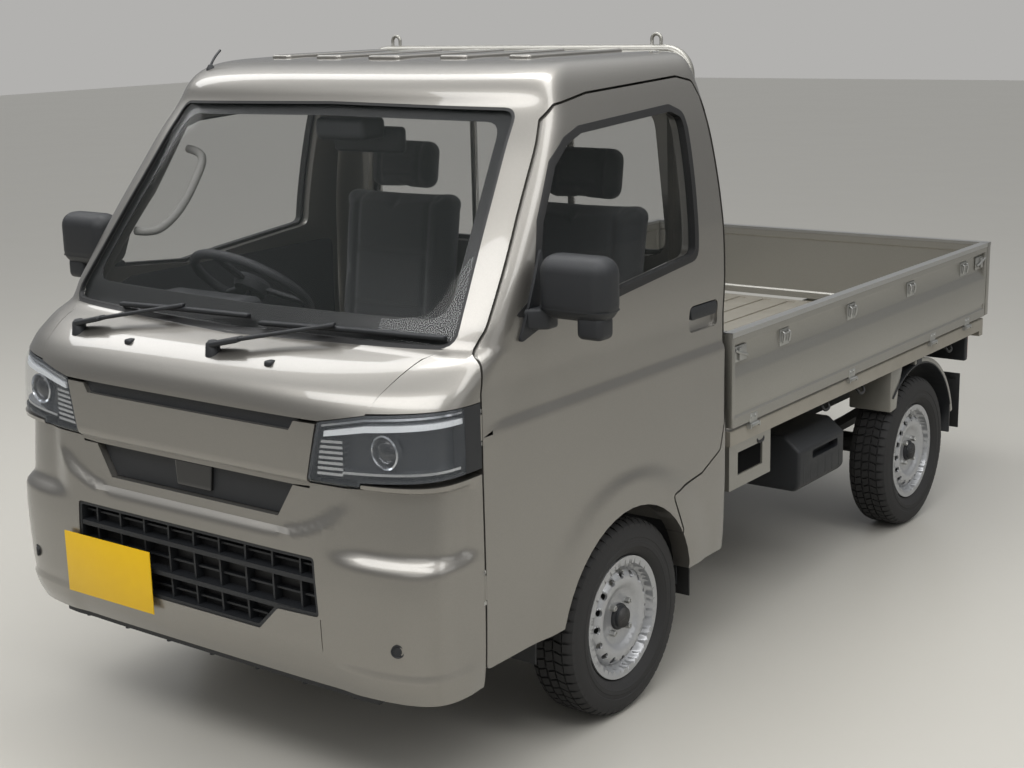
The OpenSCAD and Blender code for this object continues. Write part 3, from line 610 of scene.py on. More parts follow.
def dress_pair(piece: Piece, coat: Coat, bodies: Sequence[str] = (FIXED, FIXED),
               nodes: Sequence[str] = (), angle: float = 32) -> None:
    """Dresses a left-hand piece and its mirrored copy on the right.

    Args:
        piece: The left-hand object, whose name ends in _left.
        coat: The finish of both.
        bodies: The left and the right body.
        nodes: The CAD node that each stands for.
        angle: The shading angle in degrees.
    """
    other = copied(piece, piece.name.replace("_left", "_right"), MIRROR)
    dress(piece, coat, *nodes[:1], body=bodies[0], angle=angle)
    dress(other, coat, *nodes[1:], body=bodies[1], angle=angle)


def rounded(outline: Outline, radius: float, steps: int = 5) -> Outline:
    """Rounds an outline's corners.

    Args:
        outline: The corners in order.
        radius: The radius, which is smaller where an edge is short.
        steps: The number of facets on a corner.

    Returns:
        The rounded outline.
    """
    made: Outline = []
    count = len(outline)
    for i, spot in enumerate(outline):
        here = Vector(spot)
        back, ahead = Vector(outline[i - 1]) - here, Vector(outline[(i + 1) % count]) - here
        turn = math.pi - back.angle(ahead)
        if turn < 0.05:
            made.append(spot)
            continue
        reach = min(radius * math.tan(turn / 2), 0.46 * back.length, 0.46 * ahead.length)
        start, end = here + back.normalized() * reach, here + ahead.normalized() * reach
        for k in range(steps + 1):
            f = k / steps
            point = start * (1 - f) ** 2 + here * 2 * f * (1 - f) + end * f * f
            made.append((point.x, point.y))
    return made


def grown(outline: Outline, amount: float) -> Outline:
    """Moves an outline outwards, or inwards when the amount is negative.

    Args:
        outline: The corners in order.
        amount: How far each edge moves.

    Returns:
        The moved outline.
    """
    count = len(outline)
    area = sum(outline[i - 1][0] * outline[i][1] - outline[i][0] * outline[i - 1][1]
               for i in range(count))
    sign = 1 if area > 0 else -1
    made: Outline = []
    for i in range(count):
        back = (Vector(outline[i]) - Vector(outline[i - 1])).normalized()
        ahead = (Vector(outline[(i + 1) % count]) - Vector(outline[i])).normalized()
        first, second = Vector((back.y, -back.x)) * sign, Vector((ahead.y, -ahead.x)) * sign
        middle = (first + second).normalized()
        spot = Vector(outline[i]) + middle * (amount / max(middle.dot(first), 0.35))
        made.append((spot.x, spot.y))
    return made


def both(outline: Outline) -> Outline:
    """Adds the mirror image of a half outline, which runs from the centre outwards."""
    return outline + [(-x, z) for x, z in reversed(outline) if abs(x) > 1e-6]


def oblong(left: float, low: float, right: float, high: float) -> Outline:
    """Gives the four corners of a rectangle."""
    return [(left, low), (right, low), (right, high), (left, high)]


def arc(centre: tuple[float, float], radius: float, start: float, end: float,
        steps: int = 24) -> Outline:
    """Gives points on an arc.

    Args:
        centre: The arc's centre.
        radius: Its radius.
        start: Its first angle in degrees.
        end: Its last angle in degrees.
        steps: The number of facets.

    Returns:
        The points in order.
    """
    turns = [math.radians(start + (end - start) * k / steps) for k in range(steps + 1)]
    return [(centre[0] + radius * math.cos(t), centre[1] + radius * math.sin(t)) for t in turns]


def ease(value: float) -> float:
    """Rises smoothly from 0 to 1 while the value does."""
    clamped = min(max(value, 0.0), 1.0)
    return clamped * clamped * (3 - 2 * clamped)


# ---- The cab's form ----


@dataclass
class CabForm:
    """The smooth outside of the cab, from which every panel and pane is cut."""

    half_width: float = HALF_WIDTH
    front: float = FRONT
    rear: float = CAB_REAR
    rear_corner: float = 0.034
    front_steps: int = 116
    side_steps: int = 26
    rear_steps: int = 14
    rows: list[tuple[float, float, float, float, float]] = field(default_factory=lambda: [
        (0.300, 0.044, 0.218, 0.014, 5.5), (0.340, 0.028, 0.218, 0.008, 5.5),
        (0.420, 0.014, 0.226, 0.004, 5.5), (0.560, 0.011, 0.228, 0.001, 5.5),
        (0.640, 0.013, 0.227, 0.001, 5.3), (0.800, 0.017, 0.224, 0.001, 4.5),
        (0.920, 0.018, 0.223, 0.000, 4.0), (0.955, 0.019, 0.222, 0.000, 3.8),
        (0.985, 0.025, 0.219, 0.000, 3.4), (1.012, 0.040, 0.218, 0.0005, 3.2),
        (1.040, 0.076, 0.220, 0.001, 3.3), (1.068, 0.132, 0.222, 0.002, 3.8),
        (1.093, 0.203, 0.224, 0.003, 4.6), (1.145, 0.243, 0.224, 0.004, 5.0),
        (1.228, 0.307, 0.224, 0.007, 5.0), (1.327, 0.381, 0.222, 0.018, 5.0),
        (1.425, 0.455, 0.212, 0.034, 4.9), (1.524, 0.529, 0.180, 0.056, 4.6),
        (1.612, 0.596, 0.146, 0.085, 4.2), (1.646, 0.609, 0.142, 0.098, 4.0),
        (1.674, 0.630, 0.136, 0.111, 3.8), (1.694, 0.662, 0.128, 0.125, 3.6),
        (1.707, 0.706, 0.118, 0.143, 3.4), (1.714, 0.766, 0.106, 0.168, 3.2),
        (1.718, 0.850, 0.090, 0.215, 3.0)])

    def __post_init__(self) -> None:
        """Works out the slopes between the rows and the spread of points round the nose."""
        self.slopes = [[self.slope(k, c) for c in range(1, 5)] for k in range(len(self.rows))]
        self.turns = self.spread()

    def slope(self, k: int, column: int) -> float:
        """Gives a slope at a row that never overshoots its neighbours.

        Args:
            k: The row.
            column: The column of the row.

        Returns:
            The slope against height.
        """
        if k in (0, len(self.rows) - 1):
            a, b = (self.rows[0], self.rows[1]) if k == 0 else (self.rows[-2], self.rows[-1])
            return (b[column] - a[column]) / (b[0] - a[0])
        low, mid, high = self.rows[k - 1:k + 2]
        first = (mid[column] - low[column]) / (mid[0] - low[0])
        second = (high[column] - mid[column]) / (high[0] - mid[0])
        return 2 * first * second / (first + second) if first * second > 0 else 0.0

    def row(self, z: float) -> list[float]:
        """Gives the section at a height.

        Args:
            z: The height.

        Returns:
            The nose's setback, the corner's depth, the side's inset and the roundness.
        """
        z = min(max(z, self.rows[0][0]), self.rows[-1][0])
        k = next(i for i in range(len(self.rows) - 1) if z <= self.rows[i + 1][0] + 1e-9)
        low, high = self.rows[k], self.rows[k + 1]
        span = high[0] - low[0]
        t = (z - low[0]) / span
        a, b = 2 * t ** 3 - 3 * t ** 2 + 1, t ** 3 - 2 * t ** 2 + t
        c, d = 3 * t ** 2 - 2 * t ** 3, t ** 3 - t ** 2
        return [low[i] * a + self.slopes[k][i - 1] * span * b + high[i] * c
                + self.slopes[k + 1][i - 1] * span * d for i in range(1, 5)]

    def spread(self) -> list[float]:
        """Spaces the turns round the nose by length and by bend.

        Returns:
            The polar angles, from one side to the other.
        """
        fine = [math.pi * i / 3000 for i in range(3001)]
        places = [self.nose(t, 0.73, 0.22, 4.6) for t in fine]
        sums = [0.0]
        for i in range(1, 3001):
            step = Vector(places[i]) - Vector(places[i - 1])
            before = Vector(places[i - 1]) - Vector(places[i - 2]) if i > 1 else step
            sums.append(sums[-1] + step.length + 0.16 * step.angle(before, 0.0))
        chosen, i = [], 0
        for k in range(self.front_steps + 1):
            while sums[i] < sums[-1] * k / self.front_steps - 1e-12:
                i += 1
            chosen.append(fine[i])
        return chosen

    @staticmethod
    def nose(turn: float, width: float, depth: float, power: float) -> tuple[float, float]:
        """Gives a point of a superellipse.

        Args:
            turn: The polar angle in the unit square.
            width: Half the width.
            depth: The depth.
            power: The roundness.

        Returns:
            The point as X and the distance ahead of the section's middle.
        """
        c, s = math.cos(turn), math.sin(turn)
        reach = (abs(c) ** power + abs(s) ** power) ** (-1 / power)
        return width * reach * c, depth * reach * s

    def relief(self, x: float, y: float, z: float) -> float:
        """Tells how far the pressed shapes lie below the plain form.

        Args:
            x: The place across the truck.
            y: The place along it.
            z: The height.

        Returns:
            The depth, which is negative where the panel stands out.
        """
        u = abs(x)
        depth = 0.0
        if y < self.front + 0.236:
            fold = 0.672 + 0.134 * max((u - 0.26) / 0.29, 0.0) ** 2.4
            inside = ease((z - fold) / 0.012 + 0.5) * (1 - ease((u - 0.53) / 0.03))
            shelf = ease((z - 0.622) / 0.034) * ease((u - 0.44) / 0.12)
            fade = ease((self.front + 0.236 - y) / 0.09) * (1 - ease((z - 0.80) / 0.012))
            lip = ease((0.384 - z) / 0.016) * ease((u - 0.44) / 0.08)
            depth += fade * max(0.015 * inside, 0.025 * shelf)
            depth -= 0.007 * lip * ease((self.front + 0.236 - y) / 0.05)
        else:
            ramp = ease((y - self.front - 0.268) / 0.06)
            depth += ramp * 0.008 * ease((z - 0.908) / 0.020) * (1 - ease((z - 0.99) / 0.13))
            reach = math.hypot(y + 0.8445, z - 0.265)
            depth -= ramp * 0.009 * (1 - ease((reach - 0.375) / 0.045)) * ease((z - 0.25) / 0.1)
        return depth

    def stations(self, region: Region) -> list[tuple[str, float]]:
        """Lists the places round a section.

        Args:
            region: The part of the section wanted.

        Returns:
            Each place as its kind and its value.
        """
        nose = [("nose", t) for t in self.turns]
        right = [("right", (i + 1) / self.side_steps) for i in range(self.side_steps)]
        corners = [math.radians(18 * k) for k in range(1, 6)]
        back_right = [("corner_right", t) for t in corners]
        rear = [("rear", (i + 1) / self.rear_steps) for i in range(self.rear_steps)]
        back_left = [("corner_left", math.pi / 2 - t) for t in corners]
        left = [("left", 1 - (i + 1) / self.side_steps) for i in range(self.side_steps)]
        if region is Region.FRONT:
            return nose
        if region is Region.LEFT:
            return [("corner_left", 0.0)] + left + nose[1:len(nose) // 2 - 6]
        if region is Region.REAR:
            return back_right[2:] + rear + back_left[:3]
        return nose + right + back_right + rear + back_left + left

    def place(self, kind: str, value: float, z: float, inset: float,
              shrink: float = 1.0) -> Vector:
        """Finds a point on the form.

        Args:
            kind: The kind of station.
            value: The station's value.
            z: The height.
            inset: The depth below the surface.
            shrink: The share of the section kept, for the top of the roof.

        Returns:
            The point.
        """
        setback, depth, side, power = self.row(z)
        width = self.half_width - side - inset
        middle = self.front + setback + depth
        rear = self.rear - inset - side * 0.12
        corner = max(self.rear_corner - inset, 0.004)
        if kind == "nose":
            across, ahead = self.nose(value, width, depth - inset, power)
            x, y = across, middle - ahead
        elif kind in ("left", "right"):
            x = width if kind == "left" else -width
            y = middle + (rear - corner - middle) * value
        elif kind == "rear":
            x, y = (width - corner) * (2 * value - 1), rear
        else:
            sign = 1 if kind == "corner_left" else -1
            x = sign * (width - corner + corner * math.cos(value))
            y = rear - corner + corner * math.sin(value)
        if inset < 0.04:
            away = Vector((x / (width * width), (y - middle) / (depth * depth)
                           if y < middle else 0.0)).normalized()
            if kind != "rear":
                sunk = self.relief(x, y, z)
                x, y = x - away.x * sunk, y - away.y * sunk
        top = z - inset * max(0.0, z - SCREEN_HEAD) / (ROOF - SCREEN_HEAD)
        centre = (self.front + 0.85 + self.rear) / 2
        return Vector((x * shrink, centre + (y - centre) * shrink, top))

    def levels(self, low: float, high: float) -> list[float]:
        """Lists the heights of the sections, closer where the form bends more.

        Args:
            low: The lowest height.
            high: The highest height.

        Returns:
            The heights.
        """
        marks = [low]
        while marks[-1] < high - 1e-4:
            z = marks[-1]
            step = 0.010 if z < 1.10 else 0.018
            if z > SCREEN_HEAD - 0.03:
                step = max(0.0022, min(0.009, (ROOF - z) * 0.25))
            marks.append(min(high, z + step))
        return marks

    def skin(self, name: str, region: Region, depths: tuple[float, float],
             span: tuple[float, float] = (0.30, ROOF), crown: int = 0) -> Piece:
        """Makes a closed layer of the form.

        Args:
            name: The object's name.
            region: The part of the section.
            depths: The depths of its outer and inner face.
            span: The lowest and highest height.
            crown: The number of rings that close the roof, or 0 to leave it open.

        Returns:
            The layer as a closed mesh.
        """
        stations = self.stations(region)
        rings = [(z, 1.0) for z in self.levels(*span)]
        rings += [(span[1], 1 - (k + 1) / crown) for k in range(crown)]
        if region is Region.ALL:
            stations = stations + stations[:1]
        deselect()
        bpy.ops.mesh.primitive_grid_add(x_subdivisions=len(stations) - 1,
                                        y_subdivisions=len(rings) - 1)
        piece = bpy.context.object
        piece.name = name
        inner: dict[Triple, Vector] = {}
        spots = iter(piece.data.vertices)
        for z, shrink in rings:
            for kind, value in stations:
                outer = self.place(kind, value, z, depths[0], shrink)
                next(spots).co = outer
                inner[tuple(round(v, 5) for v in outer)] = self.place(kind, value, z, depths[1],
                                                                      shrink)
        if region is Region.ALL:
            outward(piece, 2e-6)
        count = len(piece.data.vertices)
        bpy.ops.object.mode_set(mode="EDIT")
        bpy.ops.mesh.select_all(action="SELECT")
        bpy.ops.mesh.extrude_region_move(TRANSFORM_OT_translate={"value": (0, 0, 0)})
        bpy.ops.object.mode_set(mode="OBJECT")
        for vertex in list(piece.data.vertices)[count:]:
            vertex.co = inner[tuple(round(v, 5) for v in vertex.co)]
        return outward(piece, 1e-7)

    @staticmethod
    def span_of(outline: Outline) -> tuple[float, float]:
        """Gives the lowest and highest height that a cut by an outline needs."""
        heights = [z for _, z in outline]
        return max(min(heights) - 0.02, 0.30), min(max(heights) + 0.02, ROOF)

    def panel(self, name: str, outline: Outline, depths: tuple[float, float],
              holes: Sequence[Outline] = (), reach: float = 0.42) -> Piece:
        """Cuts a panel from the front by an outline in X and Z.

        Args:
            name: The object's name.
            outline: The panel's edge.
            depths: The depths of its faces.
            holes: Outlines that are cut out of it.
            reach: How far behind the nose the cut goes.

        Returns:
            The panel.
        """
        piece = self.skin(name, Region.FRONT, depths, self.span_of(outline))
        ends = (self.front - 0.08, self.front + reach)
        combine(piece, prism("cutter", outline, Axis.Y, *ends), "INTERSECT")
        for hole in holes:
            combine(piece, prism("cutter", hole, Axis.Y, *ends))
        return piece

    def side_panel(self, name: str, outline: Outline, depths: tuple[float, float],
                   holes: Sequence[Outline] = (), inner_x: float = DOOR_INNER) -> Piece:
        """Cuts a panel from the left side by an outline in Y and Z.

        Args:
            name: The object's name.
            outline: The panel's edge.
            depths: The depths of its faces.
            holes: Outlines that are cut out of it.
            inner_x: Where the cut stops inside the cab.

        Returns:
            The panel.
        """
        piece = self.skin(name, Region.LEFT, depths, self.span_of(outline))
        ends = (inner_x, self.half_width + 0.05)
        combine(piece, prism("cutter", outline, Axis.X, *ends), "INTERSECT")
        for hole in holes:
            combine(piece, prism("cutter", hole, Axis.X, ends[0] - 0.03, ends[1]))
        return piece

    def on_nose(self, x: float, z: float, above: float = 0.0) -> Vector:
        """Finds the point of the front surface at a place across and a height.

        Args:
            x: The place across the truck.
            z: The height.
            above: How far in front of the surface the point is.

        Returns:
            The point.
        """
        setback, depth, side, power = self.row(z)
        width = self.half_width - side
        ahead = depth * (1 - min(abs(x) / width, 1.0) ** power) ** (1 / power)
        return Vector((x, self.front + setback + depth - ahead - above, z))


# ---- Panels and glass ----


@dataclass
class CabPanels:
    """The painted panels of the cab, its doors and its glass."""

    form: CabForm
    wall: float = 0.045
    door_gap: float = 0.006
    glass_depth: float = 0.005
    glass: float = 0.006
    sill: float = 0.344
    arch: tuple[float, float] = (-0.8445, 0.265)
    arch_radius: float = 0.312

    def __post_init__(self) -> None:
        """Works out the outlines from the driving sizes."""
        front, foot, head = FRONT, SCREEN_FOOT, SCREEN_HEAD
        rise = head - foot
        y0, y1 = front + 0.246, CAB_REAR - 0.026
        self.door_start, self.door_end = y0, y1
        self.door = rounded([
            (y0, self.sill), (y0, 1.005), (y0 + 0.018, 1.080), (front + 0.313, foot + 0.048),
            (front + 0.473, foot + 0.524 * rise), (front + 0.633, head - 0.032),
            (front + 0.676, head), (front + 0.813, head + 0.020), (y1 - 0.104, head + 0.038),
            (y1 - 0.034, head + 0.024), (y1, head - 0.060), (y1, 0.719), (y1 - 0.030, 0.622),
            (y1 - 0.130, 0.580), (y1 - 0.300, 0.560), (self.arch[0] + 0.262, 0.440),
            (self.arch[0] + 0.190, self.sill)], 0.016, 3)
        self.window = [
            (front + 0.404, 1.160), (front + 0.452, foot + 0.087),
            (front + 0.518, foot + 0.51 * rise), (front + 0.604, head - 0.128),
            (front + 0.672, head - 0.081), (front + 0.740, head - 0.060),
            (y1 - 0.184, head - 0.036), (y1 - 0.132, head - 0.056), (y1 - 0.128, head - 0.090),
            (y1 - 0.155, 1.185), (y1 - 0.500, 1.150), (front + 0.700, 1.132)]
        self.arch_circle = arc(self.arch, self.arch_radius, 0, 352.5, 47)
        self.screen = both([(0.0, foot - 0.006), (0.664, foot + 0.006), (0.576, head - 0.002),
                            (0.0, head + 0.006)])
        self.back_window = both([(0.0, 1.150), (0.560, 1.150), (0.520, 1.560), (0.0, 1.560)])
        self.lamp = [(0.400, 0.803), (0.548, 0.806), (0.552, 0.822), (0.7575, 0.836),
                     (0.7575, 0.990), (0.560, 0.976), (0.436, 0.950)]
        self.hood = both([
            (0.0, 0.952), (0.436, 0.952), (0.560, 0.976), (0.606, 1.080), (0.640, foot + 0.004),
            (0.0, foot - 0.010)])
        self.grille_panel = both([
            (0.0, 0.789), (0.344, 0.789), (0.397, 0.792), (0.431, 0.944), (0.0, 0.944)])
        self.recess = both([(0.0, 0.706), (0.292, 0.706), (0.344, 0.789), (0.0, 0.789)])
        self.lower_edge = both([
            (0.0, 0.416), (0.226, 0.416), (0.292, 0.480), (0.424, 0.484), (0.416, 0.628),
            (0.0, 0.628)])
        self.lower_opening = rounded(self.lower_edge, 0.012)

    def shell(self) -> None:
        """Makes the fixed shell: roof, pillars, rear wall and skirts."""
        form, front = self.form, FRONT
        piece = form.skin("cab_shell_panel", Region.ALL, (0.0, self.wall), crown=16)
        pocket = grown(self.door, self.door_gap)
        waist = 0.985
        high = [(self.door_start - self.door_gap, waist)] + [p for p in pocket if p[1] > waist] + [
            (self.door_end + self.door_gap, waist)]
        for side in Side:
            for outline, inner in ((pocket, 0.6725), (high, DOOR_INNER),
                                   (self.arch_circle, 0.6175)):
                ends = sorted((side.value * inner, side.value * (HALF_WIDTH + 0.03)))
                combine(piece, prism("cutter", outline, Axis.X, *ends))
        ends = (front - 0.06, front + 0.76)
        combine(piece, prism("cutter", rounded(self.screen, 0.038), Axis.Y, *ends))
        combine(piece, prism("cutter", rounded(self.back_window, 0.06), Axis.Y,
                             CAB_REAR - 0.12, CAB_REAR + 0.02))
        nose_end = self.door_start - self.door_gap
        hole = both([(0.0, 0.29), (0.80, 0.29), (0.80, 0.993), (0.561, 0.9795), (0.6093, 1.080),
                     (0.6438, SCREEN_FOOT + 0.0075), (0.0, SCREEN_FOOT - 0.007)])
        combine(piece, prism("cutter", hole, Axis.Y, front - 0.06, nose_end))
        for half, start, end, top in (
                (0.76, front, CAB_REAR + 0.02, 0.318),
                (HALF_WIDTH - 0.1, front - 0.02, CAB_REAR + 0.02, 0.455),
                (0.76, front - 0.02, self.arch[0], 0.475)):
            combine(piece, block("cutter", (-half, start, 0.20), (half, end, top), 0))
        dress(piece, Coat.BODY, "cab_shell")

    def front_panels(self) -> None:
        """Makes the cowl, the grille panel and the bumper."""
        form = self.form
        layer = (0.0, self.wall)
        cowl = form.panel("hood_skin", self.hood, layer)
        dress(cowl, Coat.BODY, "hood_panel")
        slit = both([(0.0, 0.921), (0.352, 0.921), (0.372, 0.952), (0.0, 0.952)])
        face = form.panel("grille_panel_skin", self.grille_panel, layer, [slit])
        dress(face, Coat.BODY, "grille_panel")
        slit_floor = form.panel("grille_slit", grown(slit, 0.004), (0.012, 0.020))
        dress(slit_floor, Coat.PLASTIC)
        edge = both([(0.0, 0.303), (0.78, 0.303), (0.78, 0.8185 + 0.003), (0.5545, 0.8185),
                     (0.5505, 0.8025), (0.3975, 0.7995), (0.3965, 0.786), (0.344, 0.786),
                     (0.2935, 0.7045), (0.0, 0.7045)])
        bumper = form.panel("bumper_skin", edge, layer, [self.lower_opening])
        combine(bumper, block("cutter", (-0.8, FRONT + 0.24, 0.2), (0.8, FRONT + 0.5, 1.0), 0))
        for side in Side:
            x = side.value * 0.4275
            combine(bumper, block("cutter", (x - 0.0012, FRONT - 0.05, 0.300),
                                  (x + 0.0012, FRONT + 0.0185, 0.480), 0))
        dress(bumper, Coat.BODY, "front_bumper")

    def doors(self) -> None:
        """Makes the doors, their window rubbers, glass, handles and inner trims."""
        form = self.form
        window = rounded(self.window, 0.034)
        door = form.side_panel("door_skin_left", self.door, (0.0, self.wall),
                               [self.arch_circle, window])
        scoop = rounded(oblong(-0.532, 0.978, -0.380, 1.052), 0.022)
        cutter = prism("cutter", scoop, Axis.X, HALF_WIDTH - 0.021, HALF_WIDTH + 0.02)
        combine(door, bevel(cutter, 0.006, 2, 60))
        self.hinge_sleeves(door)
        dress_pair(door, Coat.BODY, DOORS, ("door_left", "door_right"))
        flap = prism("door_handle_left", rounded(oblong(-0.526, 1.012, -0.386, 1.049), 0.018),
                     Axis.X, 0.7175, 0.7335, 0.004)
        dress_pair(flap, Coat.PLASTIC, DOORS)
        pane = form.side_panel("door_pane_left", window, (0.011, 0.017))
        dress_pair(pane, Coat.GLASS, DOORS, ("door_glass_left", "door_glass_right"))
        seal = form.side_panel("door_seal_left", rounded(grown(self.window, 0.010), 0.04),
                               (-0.0015, 0.020), [rounded(grown(self.window, -0.009), 0.026)])
        dress_pair(seal, Coat.RUBBER, DOORS)
        card = form.side_panel("door_card_left", rounded([
            (self.door_start + 0.08, 0.66), (self.door_start + 0.10, 1.08),
            (FRONT + 0.47, 1.125), (self.door_end - 0.05, 1.13), (self.door_end - 0.05, 0.66)],
            0.03), (0.0448, 0.049))
        dress_pair(card, Coat.DASH, DOORS)

    def hinge_sleeves(self, door: Piece) -> None:
        """Joins the hinge sleeves to a door.

        Args:
            door: The left door.
        """
        x, y = HALF_WIDTH - 0.0035, self.door_start - 0.005
        for z in (0.520, 0.900):
            sleeve = turned("sleeve", oblong(0, 0.0027, 0.06, 0.0046), (x, y, z), Axis.Z, 24)
            leaf = block("leaf", (x - 0.0046, y + 0.003, z), (x + 0.0014, y + 0.012, z + 0.06), 0)
            joined(door.name, [door, sleeve, leaf])

    def glazing(self) -> None:
        """Makes the windscreen and the rear window with their borders and rubbers."""
        form = self.form
        depth = self.glass_depth
        reach = 0.76
        screen = rounded(self.screen, 0.038)
        pane = form.panel("windscreen_pane", screen, (depth, depth + 0.0075), reach=reach)
        dress(pane, Coat.GLASS, "windscreen")
        inner = rounded(both([(0.0, SCREEN_FOOT + 0.052), (0.612, SCREEN_FOOT + 0.060),
                              (0.541, SCREEN_HEAD - 0.036), (0.0, SCREEN_HEAD - 0.030)]), 0.05)
        border = form.panel("windscreen_border", rounded(grown(self.screen, -0.004), 0.036),
                            (depth + 0.0105, depth + 0.0135), [inner], reach)
        dress(border, Coat.FRIT)
        rubber = form.panel("windscreen_rubber", rounded(grown(self.screen, 0.005), 0.042),
                            (0.0005, 0.012), [rounded(grown(self.screen, -0.007), 0.032)], reach)
        dress(rubber, Coat.RUBBER)
        self.rear_window(depth)

    def rear_window(self, depth: float) -> None:
        """Makes the rear window and its rubber.

        Args:
            depth: The depth of the glass below the panel.
        """
        ends = (CAB_REAR - 0.10, CAB_REAR + 0.02)
        for name, outline, layer, hole, coat, node in (
                ("rear_pane", rounded(self.back_window, 0.06), (depth, depth + self.glass), None,
                 Coat.GLASS, ("rear_window",)),
                ("rear_rubber", rounded(grown(self.back_window, 0.010), 0.066), (-0.001, 0.014),
                 rounded(grown(self.back_window, -0.012), 0.05), Coat.RUBBER, ())):
            piece = self.form.skin(name, Region.REAR, layer, (1.10, 1.62))
            combine(piece, prism("cutter", outline, Axis.Y, *ends), "INTERSECT")
            if hole:
                combine(piece, prism("cutter", hole, Axis.Y, *ends))
            dress(piece, coat, *node)

    def roof_trim(self) -> None:
        """Adds the pressed ribs of the roof and the aerial."""
        ribs = []
        for x, width in ((0.0, 0.11), (0.22, 0.09), (-0.22, 0.09), (0.42, 0.07), (-0.42, 0.07)):
            back, start = CAB_REAR - 0.10, FRONT + 0.80 + abs(x) * 0.10
            outline = rounded(oblong(x - width / 2, start, x + width / 2, back), 0.014)
            ribs.append(prism("rib", outline, Axis.Z, ROOF - 0.006, ROOF + 0.0075, 0.006, 4))
        dress(joined("roof_ribs", ribs), Coat.BODY, angle=60)
        cone = [(0, 0), (0, 0.013), (0.006, 0.012), (0.016, 0.006), (0.018, 0)]
        base = turned("aerial_base", cone, (-0.55, -1.00, 1.688), Axis.Z, 24)
        path = [(-0.55, -1.00, 1.700), (-0.553, -0.985, 1.722), (-0.560, -0.95, 1.742)]
        mast = tube("mast", path, 0.0035)
        dress(joined("aerial", [base, mast]), Coat.PLASTIC)

    def build(self) -> None:
        """Makes every panel and pane."""
        self.shell()
        self.front_panels()
        self.doors()
        self.glazing()
        self.roof_trim()


# ---- The nose ----


